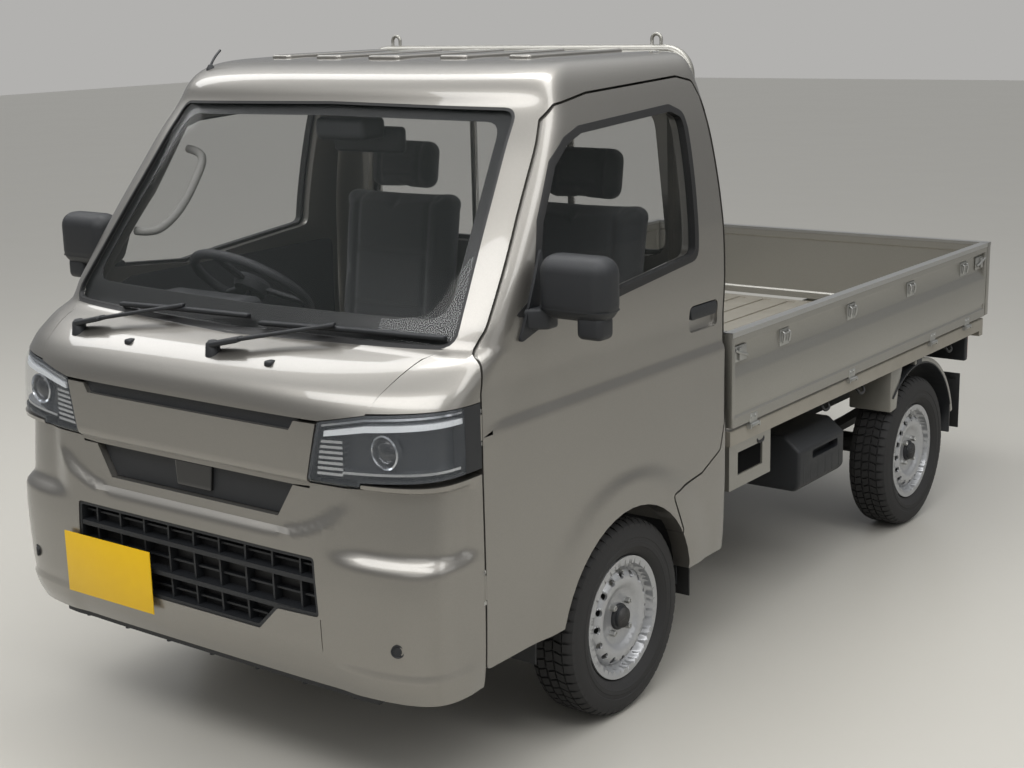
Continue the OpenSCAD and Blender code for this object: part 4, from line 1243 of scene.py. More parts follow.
@dataclass
class Nose:
    """The headlamps, the intake, the sensors and the trims of the front."""

    panels: CabPanels
    black_from: float = FRONT + 0.184

    def __post_init__(self) -> None:
        """Takes the cab's form from its panels."""
        self.form = self.panels.form

    def lamp_layer(self, name: str, outline: Outline, depths: tuple[float, float], coat: Coat,
                   holes: Sequence[Outline] = (), replaced: Sequence[str] = ()) -> None:
        """Makes one layer of both headlamps.

        Args:
            name: The left piece's name, ending in _left.
            outline: The layer's edge.
            depths: The depths of its faces.
            coat: Its finish.
            holes: The outlines cut out of it.
            replaced: The CAD nodes that the left piece stands for.
        """
        piece = self.form.panel(name, outline, depths, holes)
        combine(piece, block("cutter", (0.3, self.black_from, 0.7), (0.8, FRONT + 0.5, 1.1), 0))
        dress_pair(piece, coat, nodes=replaced)

    def headlamps(self) -> None:
        """Makes the headlamps: bowl, lens, bars, ribs and projector."""
        lamp = grown(self.panels.lamp, -0.001)
        self.lamp_layer("lamp_lens_left", lamp, (0.0, 0.0025), Coat.LENS, (), ("headlamps",))
        self.lamp_layer("lamp_bowl_left", lamp, (0.0345, 0.0395), Coat.BEZEL)
        self.lamp_layer("lamp_rim_left", lamp, (0.003, 0.040), Coat.BEZEL,
                        [grown(self.panels.lamp, -0.007)])
        bar = [(0.452, 0.930), (0.560, 0.951), (0.760, 0.966), (0.760, 0.954), (0.560, 0.937),
               (0.450, 0.917)]
        self.lamp_layer("light_bar_left", bar, (0.006, 0.034), Coat.LIGHT_BAR)
        brow = [(0.446, 0.9445), (0.560, 0.9670), (0.760, 0.982), (0.760, 0.9775), (0.560, 0.9620),
                (0.446, 0.9395)]
        self.lamp_layer("lamp_brow_left", brow, (0.004, 0.034), Coat.CHROME)
        shelf = [(0.500, 0.842), (0.760, 0.856), (0.760, 0.850), (0.500, 0.836)]
        self.lamp_layer("lamp_shelf_left", shelf, (0.008, 0.038), Coat.CHROME)
        ribs = []
        for k in range(7):
            z = 0.825 + 0.0125 * k
            lean = 0.15 * (z - 0.825)
            outline = [(0.424 + lean, z), (0.498, z + 0.004), (0.498, z + 0.0105),
                       (0.424 + lean, z + 0.0065)]
            ribs.append(self.form.panel("rib", outline, (0.012, 0.036)))
        dress_pair(joined("turn_ribs_left", ribs), Coat.CHROME)
        self.projectors()
        panel = self.form.panel("lamp_panel_left", lamp, (0.0, 0.045))
        combine(panel, block("cutter", (0.3, FRONT - 0.1, 0.7), (0.8, self.black_from, 1.1), 0))
        combine(panel, block("cutter", (0.3, FRONT + 0.24, 0.7), (0.8, FRONT + 0.5, 1.1), 0))
        dress_pair(panel, Coat.PLASTIC)

    def projectors(self) -> None:
        """Makes the projector lenses with their rings."""
        spot = self.form.on_nose(0.600, 0.892, -0.040)
        ring = [(0.0, 0.036), (-0.020, 0.040), (-0.022, 0.036), (-0.010, 0.030), (0.0, 0.030)]
        lens = [(0.002, 0.0), (0.002, 0.031), (-0.006, 0.030)] + [
            (-0.006 - 0.016 * math.sin(math.radians(a)), 0.030 * math.cos(math.radians(a)))
            for a in (15, 30, 45, 60, 75)] + [(-0.022, 0.0)]
        dress_pair(turned("projector_ring_left", ring, tuple(spot), Axis.Y, 48), Coat.CHROME)
        dress_pair(turned("projector_left", lens, tuple(spot), Axis.Y, 48), Coat.GLOSS_BLACK,
                   angle=40)

    def intake(self) -> None:
        """Makes the black nose recess and the bars of the lower intake."""
        recess = self.form.panel("nose_recess_panel", self.panels.recess, (0.018, 0.030))
        dress(recess, Coat.PLASTIC, "lower_grille")
        cover = both([(0.0, 0.722), (0.060, 0.722), (0.066, 0.786), (0.0, 0.786)])
        camera = self.form.panel("nose_sensor", cover, (0.010, 0.026))
        dress(bevel(camera, 0.003), Coat.GLOSS_BLACK)
        back = self.form.panel("intake_back", self.panels.lower_opening, (0.040, 0.045))
        dress(back, Coat.RUBBER)
        outlines = [(oblong(-0.418, z, 0.418, z + 0.012), 0.004) for z in (0.480, 0.564)]
        outlines += [(oblong(-reach, z, reach, z + 0.005), 0.022)
                     for z, reach in ((0.445, 0.235), (0.522, 0.414), (0.598, 0.414))]
        outlines += [(oblong(0.09 * k - 0.003, 0.420 if abs(k) < 3 else 0.487,
                             0.09 * k + 0.003, 0.626), 0.014) for k in range(-4, 5)]
        bars = [self.form.panel("bar", outline, (depth, 0.040)) for outline, depth in outlines]
        dress(joined("intake_bars", bars), Coat.PLASTIC)
        edge = self.panels.lower_edge
        rim = self.form.panel("intake_rim", rounded(grown(edge, -0.0007), 0.0115),
                              (0.003, 0.0395), [rounded(grown(edge, -0.009), 0.006)])
        dress(rim, Coat.PLASTIC)
        self.lip()

    def lip(self) -> None:
        """Makes the black lip under the bumper with its clips."""
        edge = self.form.place
        nose = [edge("nose", t, 0.30, 0.012) for t in self.form.turns]
        nose = [(p.x, p.y) for p in nose if abs(p.x) < 0.56]
        inner = [(x, y + 0.030) for x, y in reversed(nose)]
        lip = prism("bumper_lip", nose + inner, Axis.Z, 0.284, 0.303)
        clips = [bolt((x, self.form.on_nose(x, 0.30).y + 0.019, 0.280), Axis.Z,
                      (0.008, 0.003, 0.007, 0.005))
                 for x in (-0.48, -0.32, -0.16, 0.0, 0.16, 0.32, 0.48)]
        dress(joined("bumper_lip", [lip] + clips), Coat.PLASTIC)

    def sensors(self) -> None:
        """Makes the parking sensors and the washer nozzles."""
        normal = Vector((0.50, -0.87, 0)).normalized()
        spot = self.form.on_nose(0.640, 0.442) + normal * 0.001
        turn = normal.to_track_quat("X", "Z").to_matrix().to_4x4()
        profile = [(-0.004, 0), (-0.004, 0.016), (0.0015, 0.016), (0.002, 0.014),
                   (0.0005, 0.012), (0.0005, 0.010), (0.0025, 0.009), (0.003, 0)]
        disc = turned("sensor_left", profile, (0, 0, 0), Axis.X, 32)
        disc.data.transform(Matrix.Translation(spot) @ turn)
        dress_pair(disc, Coat.PLASTIC)
        for x in (0.232, -0.26):
            at = self.form.on_nose(x, 1.045)
            jet = block("washer_jet_" + ("l" if x > 0 else "r"), (x - 0.011, at.y - 0.004, 1.040),
                        (x + 0.011, at.y + 0.022, 1.056), 0.006, 3)
            dress(jet, Coat.PLASTIC)

    def wipers(self) -> None:
        """Makes the two wipers, each an arm, a blade and its rubber."""
        arms, rubbers = [], []
        cap = [(-0.020, 0), (-0.020, 0.020), (0.012, 0.017), (0.020, 0.010), (0.021, 0)]
        for x, reach in ((-0.480, 0.52), (0.035, 0.60)):
            foot = self.form.on_nose(x, 1.062, 0.018)
            tip = self.form.on_nose(x + 0.30, SCREEN_FOOT + 0.030, 0.014)
            middle = foot.lerp(tip, 0.25) + Vector((0, -0.012, 0.012))
            arms.append(turned("cap", cap, tuple(foot), Axis.Z, 28))
            arms.append(self.bar([foot + Vector((0, 0, 0.010)), middle], (0.036, 0.013)))
            arms.append(self.bar([middle, tip + Vector((0, -0.008, 0.008))], (0.020, 0.009)))
            low = self.form.on_nose(x + 0.055, SCREEN_FOOT + 0.018, 0.010)
            high = self.form.on_nose(x + reach, SCREEN_FOOT + 0.030, 0.010)
            path = [low, low.lerp(high, 0.5) + Vector((0, -0.010, 0.004)), high]
            arms.append(self.bar(path, (0.018, 0.010)))
            rubbers.append(self.bar([p + Vector((0, 0.006, -0.004)) for p in path], (0.004, 0.010)))
        dress(joined("wiper_arms", arms), Coat.PLASTIC, "wipers", angle=50)
        dress(joined("wiper_rubbers", rubbers), Coat.RUBBER)

    @staticmethod
    def bar(path: Sequence[Vector], size: tuple[float, float]) -> Piece:
        """Makes a flat bar along a path.

        Args:
            path: Its points.
            size: Its width across the path and its height.

        Returns:
            The bar.
        """
        parts = []
        for a, b in zip(path, path[1:]):
            reach = (b - a).length
            part = block("bar", (-0.002, -size[0] / 2, -size[1] / 2),
                         (reach + 0.002, size[0] / 2, size[1] / 2), min(size) * 0.3)
            turn = (b - a).to_track_quat("X", "Z").to_matrix().to_4x4()
            part.data.transform(Matrix.Translation(a) @ turn)
            parts.append(part)
        return joined("bar", parts)

    def plates(self) -> None:
        """Makes the front and rear number plates with their brackets and bolts."""
        half, tall = 0.165, 0.0825
        for name, x, face, z, facing, nodes in (
                ("front_plate", -0.303, FRONT, 0.458, 1, ("number_plates",)),
                ("rear_plate", 0.0, BED_REAR - 0.016, 0.4925, -1, ())):
            back = face + facing * 0.003
            sheet = block(name, (x - half, min(face, back), z - tall),
                          (x + half, max(face, back), z + tall), 0.0012)
            bolts = [bolt((x + dx, face + facing * 0.0012, z + 0.062), Axis.Y,
                          (0.007, 0.0014, 0.006, 0.0018), 16) for dx in (-0.105, 0.105)]
            dress(sheet, Coat.PLATE, *nodes)
            dress(joined(name + "_bolts", bolts), Coat.ZINC)
            ends = sorted((back, back + facing * 0.012))
            dress(block(name + "_bracket", (x - 0.10, ends[0], z - 0.05),
                        (x + 0.10, ends[1], z + 0.05), 0.002), Coat.CHASSIS)

    def build(self) -> None:
        """Makes every piece of the nose."""
        self.headlamps()
        self.intake()
        self.sensors()
        self.wipers()
        self.plates()


# ---- Mirrors ----


@dataclass
class Mirrors:
    """The two door mirrors."""

    form: CabForm
    centre: Triple = (HALF_WIDTH + 0.113, FRONT + 0.470, 1.215)

    def build(self) -> None:
        """Makes the left mirror and its copy on the right."""
        x, y, z = self.centre
        head = block("mirror_head_left", (x - 0.095, y - 0.045, z - 0.068),
                     (x + 0.095, y + 0.050, z + 0.082), 0.040, 6)
        glass = rounded(oblong(x - 0.080, z - 0.054, x + 0.080, z + 0.068), 0.03)
        combine(head, prism("cutter", glass, Axis.Y, y + 0.040, y + 0.06))
        nub = block("nub", (x + 0.008, y - 0.030, z - 0.108), (x + 0.078, y + 0.030, z - 0.050),
                    0.015, 4)
        ring = rounded(oblong(x - 0.0935, y - 0.0435, x + 0.0935, y + 0.0485), 0.038)
        seam = prism("seam", ring, Axis.Z, z - 0.042, z - 0.0395)
        door = HALF_WIDTH - 0.036
        outline = [(door, y - 0.062), (door + 0.020, y - 0.062), (x - 0.070, y - 0.020),
                   (x - 0.070, y + 0.020), (x - 0.090, y + 0.020), (door, y - 0.002)]
        arm = prism("arm", outline, Axis.Z, z - 0.095, z - 0.045, 0.008, 3)
        foot = self.form.side_panel("foot", rounded([
            (FRONT + 0.388, 1.094), (FRONT + 0.470, 1.118), (FRONT + 0.470, 1.170),
            (FRONT + 0.505, SCREEN_FOOT + 0.235)], 0.008), (-0.008, 0.001), (), 0.60)
        shape = joined("mirror_head_left", [head, nub, arm, foot, seam])
        dress_pair(shape, Coat.PLASTIC, DOORS, ("mirror_left", "mirror_right"), 40)
        pane = prism("mirror_glass_left", grown(glass, -0.002), Axis.Y, y + 0.0405, y + 0.0445,
                     0.001)
        dress_pair(pane, Coat.MIRROR, DOORS)


# ---- Inside the cab ----


@dataclass
class Interior:
    """The dashboard, the steering wheel, the trims and the seats."""

    form: CabForm
    wheel: Triple = (-0.33, FRONT + 0.590, 1.105)
    tilt: float = 38.0
    vents: tuple[float, ...] = (-0.62, -0.155, 0.155, 0.62)
    seat_x: float = 0.33
    seat_width: float = 0.50
    seat_low: float = 0.700
    seat_top: float = 0.825
    back_low: float = 0.795
    back_top: float = 1.335
    back_gap: float = 0.245
    seam_at: float = 0.31
    seam_width: float = 0.018
    seam_depth: float = 0.006
    sim_frames: int = 20

    def dashboard(self) -> None:
        """Adds the instrument hood, vents, centre panel and glove box to the dashboard."""
        parts = [
            block("hood", (-0.50, -1.350, 1.040), (-0.17, -1.215, 1.112), 0.022, 4),
            block("centre", (-0.115, -1.245, 0.860), (0.115, -1.196, 1.050), 0.010, 3),
            block("glove", (0.190, -1.225, 0.850), (0.560, -1.194, 0.985), 0.008, 3),
            block("tray", (0.170, -1.275, 1.020), (0.600, -1.205, 1.058), 0.012, 3)]
        for x in self.vents:
            parts.append(block("vent", (x - 0.045, -1.235, 0.985), (x + 0.045, -1.199, 1.040),
                               0.006))
        dress(joined("dash_details", parts), Coat.DASH, angle=50)
        screen = block("dash_screen", (-0.100, -1.1965, 0.925), (0.100, -1.1925, 1.035), 0.001)
        dress(screen, Coat.GLOSS_BLACK)
        slats = [block("slat", (x - 0.040, -1.1995, 0.992 + 0.009 * k),
                       (x + 0.040, -1.1965, 0.995 + 0.009 * k), 0.0006)
                 for x in self.vents for k in range(5)]
        dress(joined("dash_slats", slats), Coat.PLASTIC)

    def steering(self) -> None:
        """Makes the steering wheel, its boss, spokes and column stalks."""
        rim = [(0.006 + 0.013 * math.cos(math.radians(a)),
                0.171 + 0.0135 * math.sin(math.radians(a))) for a in range(0, 360, 30)]
        boss = [(-0.014, 0), (-0.014, 0.045), (0.010, 0.055), (0.022, 0.048), (0.026, 0.030),
                (0.026, 0)]
        parts = [turned("rim", rim, (0, 0, 0), Axis.Z, 72),
                 turned("boss", boss, (0, 0, 0), Axis.Z, 40)]
        for turn in (90, 205, 335):
            spoke = block("spoke", (0.045, -0.015, -0.002), (0.166, 0.015, 0.010), 0.004, 3)
            spoke.data.transform(Matrix.Rotation(math.radians(turn + 180), 4, "Z"))
            parts.append(spoke)
        wheel = joined("steering_wheel_rim", parts)
        place = Matrix.Translation(self.wheel) @ Matrix.Rotation(math.radians(-self.tilt), 4, "X")
        wheel.data.transform(place)
        dress(wheel, Coat.DASH, "steering_wheel", body="steering_wheel_body", angle=50)
        stalks = [tube("stalk", [(0.0, 0, -0.07), (s * 0.09, 0.01, -0.062),
                                 (s * 0.175, 0.02, -0.055)], 0.006) for s in (1, -1)]
        for stalk in stalks:
            stalk.data.transform(place)
        dress(joined("column_stalks", stalks), Coat.PLASTIC)

    def trims(self) -> None:
        """Makes the grab handle, the sun visors, the mirror and the roof lining."""
        path = [(-0.600, -1.270, 1.265), (-0.560, -1.262, 1.262), (-0.520, -1.240, 1.275),
                (-0.492, -1.190, 1.330), (-0.480, -1.140, 1.410), (-0.490, -1.105, 1.452),
                (-0.530, -1.085, 1.470), (-0.575, -1.080, 1.475)]
        dress(tube("grab_handle", path, 0.012), Coat.TRIM_GREY)
        visors = [block("visor", (s * 0.30 - 0.17, -1.030, 1.575), (s * 0.30 + 0.17, -0.900, 1.592),
                        0.008, 3) for s in (1, -1)]
        dress(joined("sun_visors", visors), Coat.TRIM_GREY)
        housing = [block("camera", (-0.085, -1.085, 1.515), (0.085, -0.985, 1.575), 0.018, 4),
                   block("mirror", (-0.120, -0.975, 1.475), (0.120, -0.945, 1.545), 0.012, 4),
                   tube("stem", [(0, -1.02, 1.56), (0, -0.96, 1.52)], 0.008)]
        dress(joined("mirror_housing", housing), Coat.PLASTIC)
        lining = self.form.skin("roof_lining", Region.ALL, (0.0455, 0.049), (1.655, ROOF), crown=6)
        dress(lining, Coat.TRIM_GREY)
        lever = joined("shift_lever", [
            tube("rod", [(-0.02, -1.20, 0.80), (-0.02, -1.14, 0.84), (-0.02, -1.10, 0.90)], 0.007),
            block("knob", (-0.040, -1.125, 0.885), (0.0, -1.080, 0.945), 0.012, 4)])
        dress(lever, Coat.PLASTIC)

    def pad(self, name: str, low: Triple, high: Triple, lean: float, pivot: Triple,
            cap: float) -> Piece:
        """Makes a padded block swollen by a cloth simulation.

        Args:
            name: The piece's name.
            low: The lowest corner before it leans.
            high: The highest corner.
            lean: How far it leans back, in degrees.
            pivot: The point that it leans about.
            cap: How far a point may move.

        Returns:
            The pad.
        """
        piece = block(name, low, high, 0.035, 5)
        modify(piece, "REMESH", mode="VOXEL", voxel_size=0.0065)
        self.inflate(piece, cap)
        size = [b - a for a, b in zip(low, high)]
        tall = size[2] > size[1]
        across, deep = (2, 1) if tall else (1, 2)
        for vertex in piece.data.vertices:
            place = [(v - a) / s for v, a, s in zip(vertex.co, low, size)]
            aside = abs(place[0] - 0.5)
            groove = math.exp(-((aside - self.seam_at) / self.seam_width) ** 2)
            groove += sum(math.exp(-((place[across] - f) / self.seam_width) ** 2)
                          for f in (0.3, 0.62)) * (aside < self.seam_at)
            pull = Vector((0.0, 0.0, 0.0))
            pull[deep] = (low[deep] + high[deep]) / 2 - vertex.co[deep]
            vertex.co += pull.normalized() * self.seam_depth * min(groove, 1.0)
        piece.data.transform(Matrix.Translation(pivot) @ Matrix.Rotation(
            math.radians(-lean), 4, "X") @ Matrix.Translation(-Vector(pivot)))
        modify(piece, "SMOOTH", factor=0.5, iterations=2)
        return piece

    def inflate(self, piece: Piece, cap: float) -> None:
        """Swells a pad with cloth pressure and limits how far it moves.

        Args:
            piece: The pad's mesh.
            cap: How far a point may move.
        """
        rest = [vertex.co.copy() for vertex in piece.data.vertices]
        activate(piece)
        cloth = piece.modifiers.new("cloth", "CLOTH")
        cloth.settings.use_pressure = True
        cloth.settings.uniform_pressure_force = 4.0
        cloth.settings.quality = 4
        cloth.settings.effector_weights.gravity = 0.0
        scene = bpy.context.scene
        for step in range(1, self.sim_frames + 1):
            scene.frame_set(step)
        bpy.ops.object.modifier_apply(modifier=cloth.name)
        scene.frame_set(1)
        for vertex, start in zip(piece.data.vertices, rest):
            move = vertex.co - start
            if move.length > cap:
                vertex.co = start + move.normalized() * cap

    def seats(self) -> None:
        """Makes the two seats: cushion, back and head part."""
        x, half, inset, trim = self.seat_x, self.seat_width / 2, 0.012, 0.008
        start, back = FRONT_AXLE - 0.085, CAB_REAR - self.back_gap
        pivot = (x, back, self.back_low)
        for name, low, high, lean in (
                ("seat_cushion", (x - half + inset, start + inset, self.seat_low + inset),
                 (x + half - inset, back + 0.060 - inset, self.seat_top - inset), 0.0),
                ("seat_back", (x - half + 0.015 + inset, back + inset, self.back_low + inset),
                 (x + half - 0.015 - inset, back + 0.100 - inset, self.back_top - inset), 8.0),
                ("seat_head", (x - 0.130 + trim, back + 0.010 + trim, self.back_top - 0.010),
                 (x + 0.130 - trim, back + 0.090 - trim, self.back_top + 0.140 - trim), 8.0)):
            left = self.pad(f"{name}_left", low, high, lean, pivot, 0.016)
            right = copied(left, f"{name}_right", MIRROR)
            for pad in (left, right):
                dress(pad, Coat.CLOTH,
                      *(("seats",) if pad.name == "seat_cushion_left" else ()), angle=60)

    def build(self) -> None:
        """Makes everything inside the cab."""
        self.dashboard()
        self.steering()
        self.trims()
        self.seats()


# ---- The bed ----


@dataclass
class Bed:
    """The drop sides, their fittings, the bed's edges and the guard frame's feet."""

    outer: float = 0.731
    thick: float = 0.028
    low: float = FLOOR_TOP + 0.010
    top: float = GATE_TOP
    start: float = BED_FRONT
    tail: float = 1.6885
    hook_places: tuple[float, ...] = (0.045, 0.507, 0.977, 1.456)
    hinge_shares: tuple[float, ...] = (0.065, 0.405, 0.745, 0.91)

    def section(self) -> Outline:
        """Gives a gate's section.

        Returns:
            Points as (depth from the outer face, height).
        """
        low, top, thick = self.low, self.top, self.thick
        return [(0.0, low), (0.0, low + 0.028), (0.004, low + 0.034), (0.004, low + 0.044),
                (0.001, low + 0.052), (0.001, 0.800), (0.003, 0.812), (0.013, 0.830),
                (0.015, 0.838), (0.015, 0.893), (0.013, 0.900), (0.0, 0.905),
                (0.0, top - 0.003), (0.003, top), (thick - 0.003, top), (thick, top - 0.003),
                (thick, 0.903), (thick - 0.004, 0.897), (thick - 0.004, low + 0.030),
                (thick, low + 0.024), (thick, low)]

    def rail_section(self, outer: float) -> Outline:
        """Gives the section of the bare strip along a gate's top.

        Args:
            outer: Where the gate's outer face is.

        Returns:
            Points as (place across the gate, height).
        """
        inner, top = outer - self.thick, self.top
        return [(inner - 0.0006, top - 0.010), (inner - 0.0006, top + 0.0005),
                (outer + 0.0008, top + 0.0005), (outer + 0.0008, top - 0.014),
                (outer - 0.0004, top - 0.014), (outer - 0.0004, top - 0.001),
                (inner + 0.0006, top - 0.001), (inner + 0.0006, top - 0.010)]

    def gate(self, name: str, start: float, end: float) -> Piece:
        """Makes a side gate's pressed sheet with its end caps.

        Args:
            name: The object's name.
            start: Where it starts along the truck.
            end: Where it ends.

        Returns:
            The left-hand gate.
        """
        outline = [(self.outer - d, z) for d, z in self.section()]
        sheet = prism(name, outline, Axis.Y, start + 0.003, end - 0.003)
        caps = [block("cap", (self.outer - self.thick + 0.0007, y, self.low + 0.0007),
                      (self.outer - 0.0007, y + 0.016, self.top - 0.0015), 0.002)
                for y in (start, end - 0.016)]
        return joined(name, [sheet] + caps)

    def hook(self, y: float) -> list[Piece]:
        """Makes a rope hook in the side's upper channel.

        Args:
            y: Its place along the truck.

        Returns:
            The hook's pieces.
        """
        x = self.outer - 0.015
        plate = block("plate", (x - 0.001, y - 0.030, 0.842), (x + 0.003, y + 0.030, 0.892), 0.001)
        ends = (y - 0.018, y + 0.018)
        prongs = [tube("prong", [(x, end, 0.886), (x + 0.010, end, 0.884), (x + 0.012, end, 0.870),
                                 (x + 0.008, end, 0.852)], 0.0035) for end in ends]
        return [plate] + prongs + [tube("rod", [(x + 0.010, end, 0.880) for end in ends], 0.0035)]

    def latch(self, y: float, facing: int) -> list[Piece]:
        """Makes a gate latch.

        Args:
            y: Its place along the truck.
            facing: 1 where it reaches backwards, -1 forwards.

        Returns:
            The latch's pieces.
        """
        x = self.outer - 0.014
        return [
            block("base", (x, y - 0.034, 0.846), (x + 0.004, y + 0.034, 0.892), 0.001),
            tube("lever", [(x + 0.007, y - facing * 0.030, 0.860),
                           (x + 0.010, y, 0.866), (x + 0.010, y + facing * 0.045, 0.884)], 0.0045),
            block("catch", (x + 0.003, y + facing * 0.012 - 0.008, 0.850),
                  (x + 0.012, y + facing * 0.012 + 0.008, 0.888), 0.002)]

    def hinge(self, y: float) -> list[Piece]:
        """Makes the gate's half of a hinge.

        Args:
            y: Its place along the truck.

        Returns:
            The barrel and the leaf.
        """
        x, z = HALF_WIDTH - 0.0035, FLOOR_TOP - 0.002
        barrel = turned("barrel", oblong(-0.022, 0.0033, 0.022, 0.006), (x, y, z), Axis.Y, 24)
        leaf = block("leaf", (x - 0.006, y - 0.022, z), (x - 0.0022, y + 0.022, z + 0.034), 0.001)
        bolts = [bolt((x - 0.0024, y + s * 0.012, z + 0.024), Axis.X,
                      (0.0055, 0.0022, 0.005, 0.003)) for s in (-1, 1)]
        return [barrel, leaf] + bolts

    def side_gates(self) -> None:
        """Makes the two side gates with hooks, latches, hinges and bare top rails."""
        end = self.tail - self.thick - 0.006
        gate = self.gate("gate_sheet_left", self.start, end)
        dress_pair(gate, Coat.BED, GATES, ("gate_left", "gate_right"))
        rail = prism("gate_rail_left", self.rail_section(self.outer), Axis.Y, self.start, end)
        dress_pair(rail, Coat.STEEL, GATES)
        length = end - self.start
        fittings = [p for y in self.hook_places for p in self.hook(y)]
        fittings += self.latch(self.start + 0.066, -1) + self.latch(end - 0.052, 1)
        dress_pair(joined("gate_fittings_left", fittings), Coat.ZINC, GATES)
        hinges = [p for share in self.hinge_shares for p in self.hinge(self.start + share * length)]
        dress_pair(joined("gate_hinges_left", hinges), Coat.ZINC, GATES)

    def tail_gate(self) -> None:
        """Makes the tailgate with its hooks, hinges and rail."""
        outline = [(self.tail - d, z) for d, z in self.section()]
        sheet = prism("tailgate_sheet", outline, Axis.X, 0.003 - self.outer, self.outer - 0.003)
        caps = [block("cap", (x, self.tail - self.thick + 0.0007, self.low + 0.0007),
                      (x + 0.016, self.tail - 0.0007, self.top - 0.0015), 0.002)
                for x in (-self.outer, self.outer - 0.016)]
        dress(joined("tailgate_sheet", [sheet] + caps), Coat.BED, "tailgate",
              body="tailgate_body")
        rail = prism("tailgate_rail", self.rail_section(self.tail), Axis.X, -self.outer,
                     self.outer)
        dress(rail, Coat.STEEL, body="tailgate_body")
        turn = (Matrix.Translation((0, self.tail, 0)) @ Matrix.Rotation(math.radians(90), 4, "Z")
                @ Matrix.Translation((-self.outer, 0, 0)))
        fittings = [p for y in (-0.42, 0.0, 0.42) for p in self.hook(y)]
        for x in (-0.4867, 0.0, 0.4867):
            fittings += self.hinge(-x)
        piece = joined("tailgate_fittings", fittings)
        piece.data.transform(turn)
        dress(piece, Coat.ZINC, body="tailgate_body")

    def edges(self) -> None:
        """Adds rope hooks under the bed, the headboard's trim, the guard's bolted feet and the
        rubber stoppers.
        """
        x = HALF_WIDTH - 0.036
        half = [(x, 0.022, 0.602), (x + 0.014, 0.022, 0.592), (x + 0.018, 0.016, 0.578)]
        hooks = [tube("hook", [(a, y - b, c) for a, b, c in half]
                      + [(a, y + b, c) for a, b, c in reversed(half)], 0.0045)
                 for y in (-0.10, 0.34, 0.60, 1.35)]
        dress_pair(joined("rope_hooks_left", hooks), Coat.CHASSIS)
        board = block("headboard_rail", (-0.6975, self.start - 0.0005, GATE_TOP - 0.012),
                      (0.6975, self.start + 0.0265, GATE_TOP + 0.001), 0.003)
        dress(board, Coat.STEEL)
        feet = []
        for x in (-0.58, -0.18, 0.18, 0.58):
            feet.append(block("foot", (x - 0.032, self.start + 0.0255, GATE_TOP - 0.085),
                              (x + 0.032, self.start + 0.0305, GATE_TOP - 0.015), 0.0015))
            feet += [bolt((x + s * 0.018, self.start + 0.0305, GATE_TOP - 0.050), Axis.Y,
                          (0.007, 0.004, 0.0065, 0.005)) for s in (-1, 1)]
        dress(joined("guard_feet", feet), Coat.BED)
        profile = [(-0.012, 0), (-0.012, 0.016), (0.010, 0.016), (0.014, 0.011), (0.014, 0)]
        stop = turned("stopper_left", profile, (HALF_WIDTH - 0.034, -0.257, 0.576), Axis.X, 32)
        dress_pair(stop, Coat.RUBBER)

    def build(self) -> None:
        """Makes every piece of the bed."""
        self.side_gates()
        self.tail_gate()
        self.edges()


# ---- Wheels ----


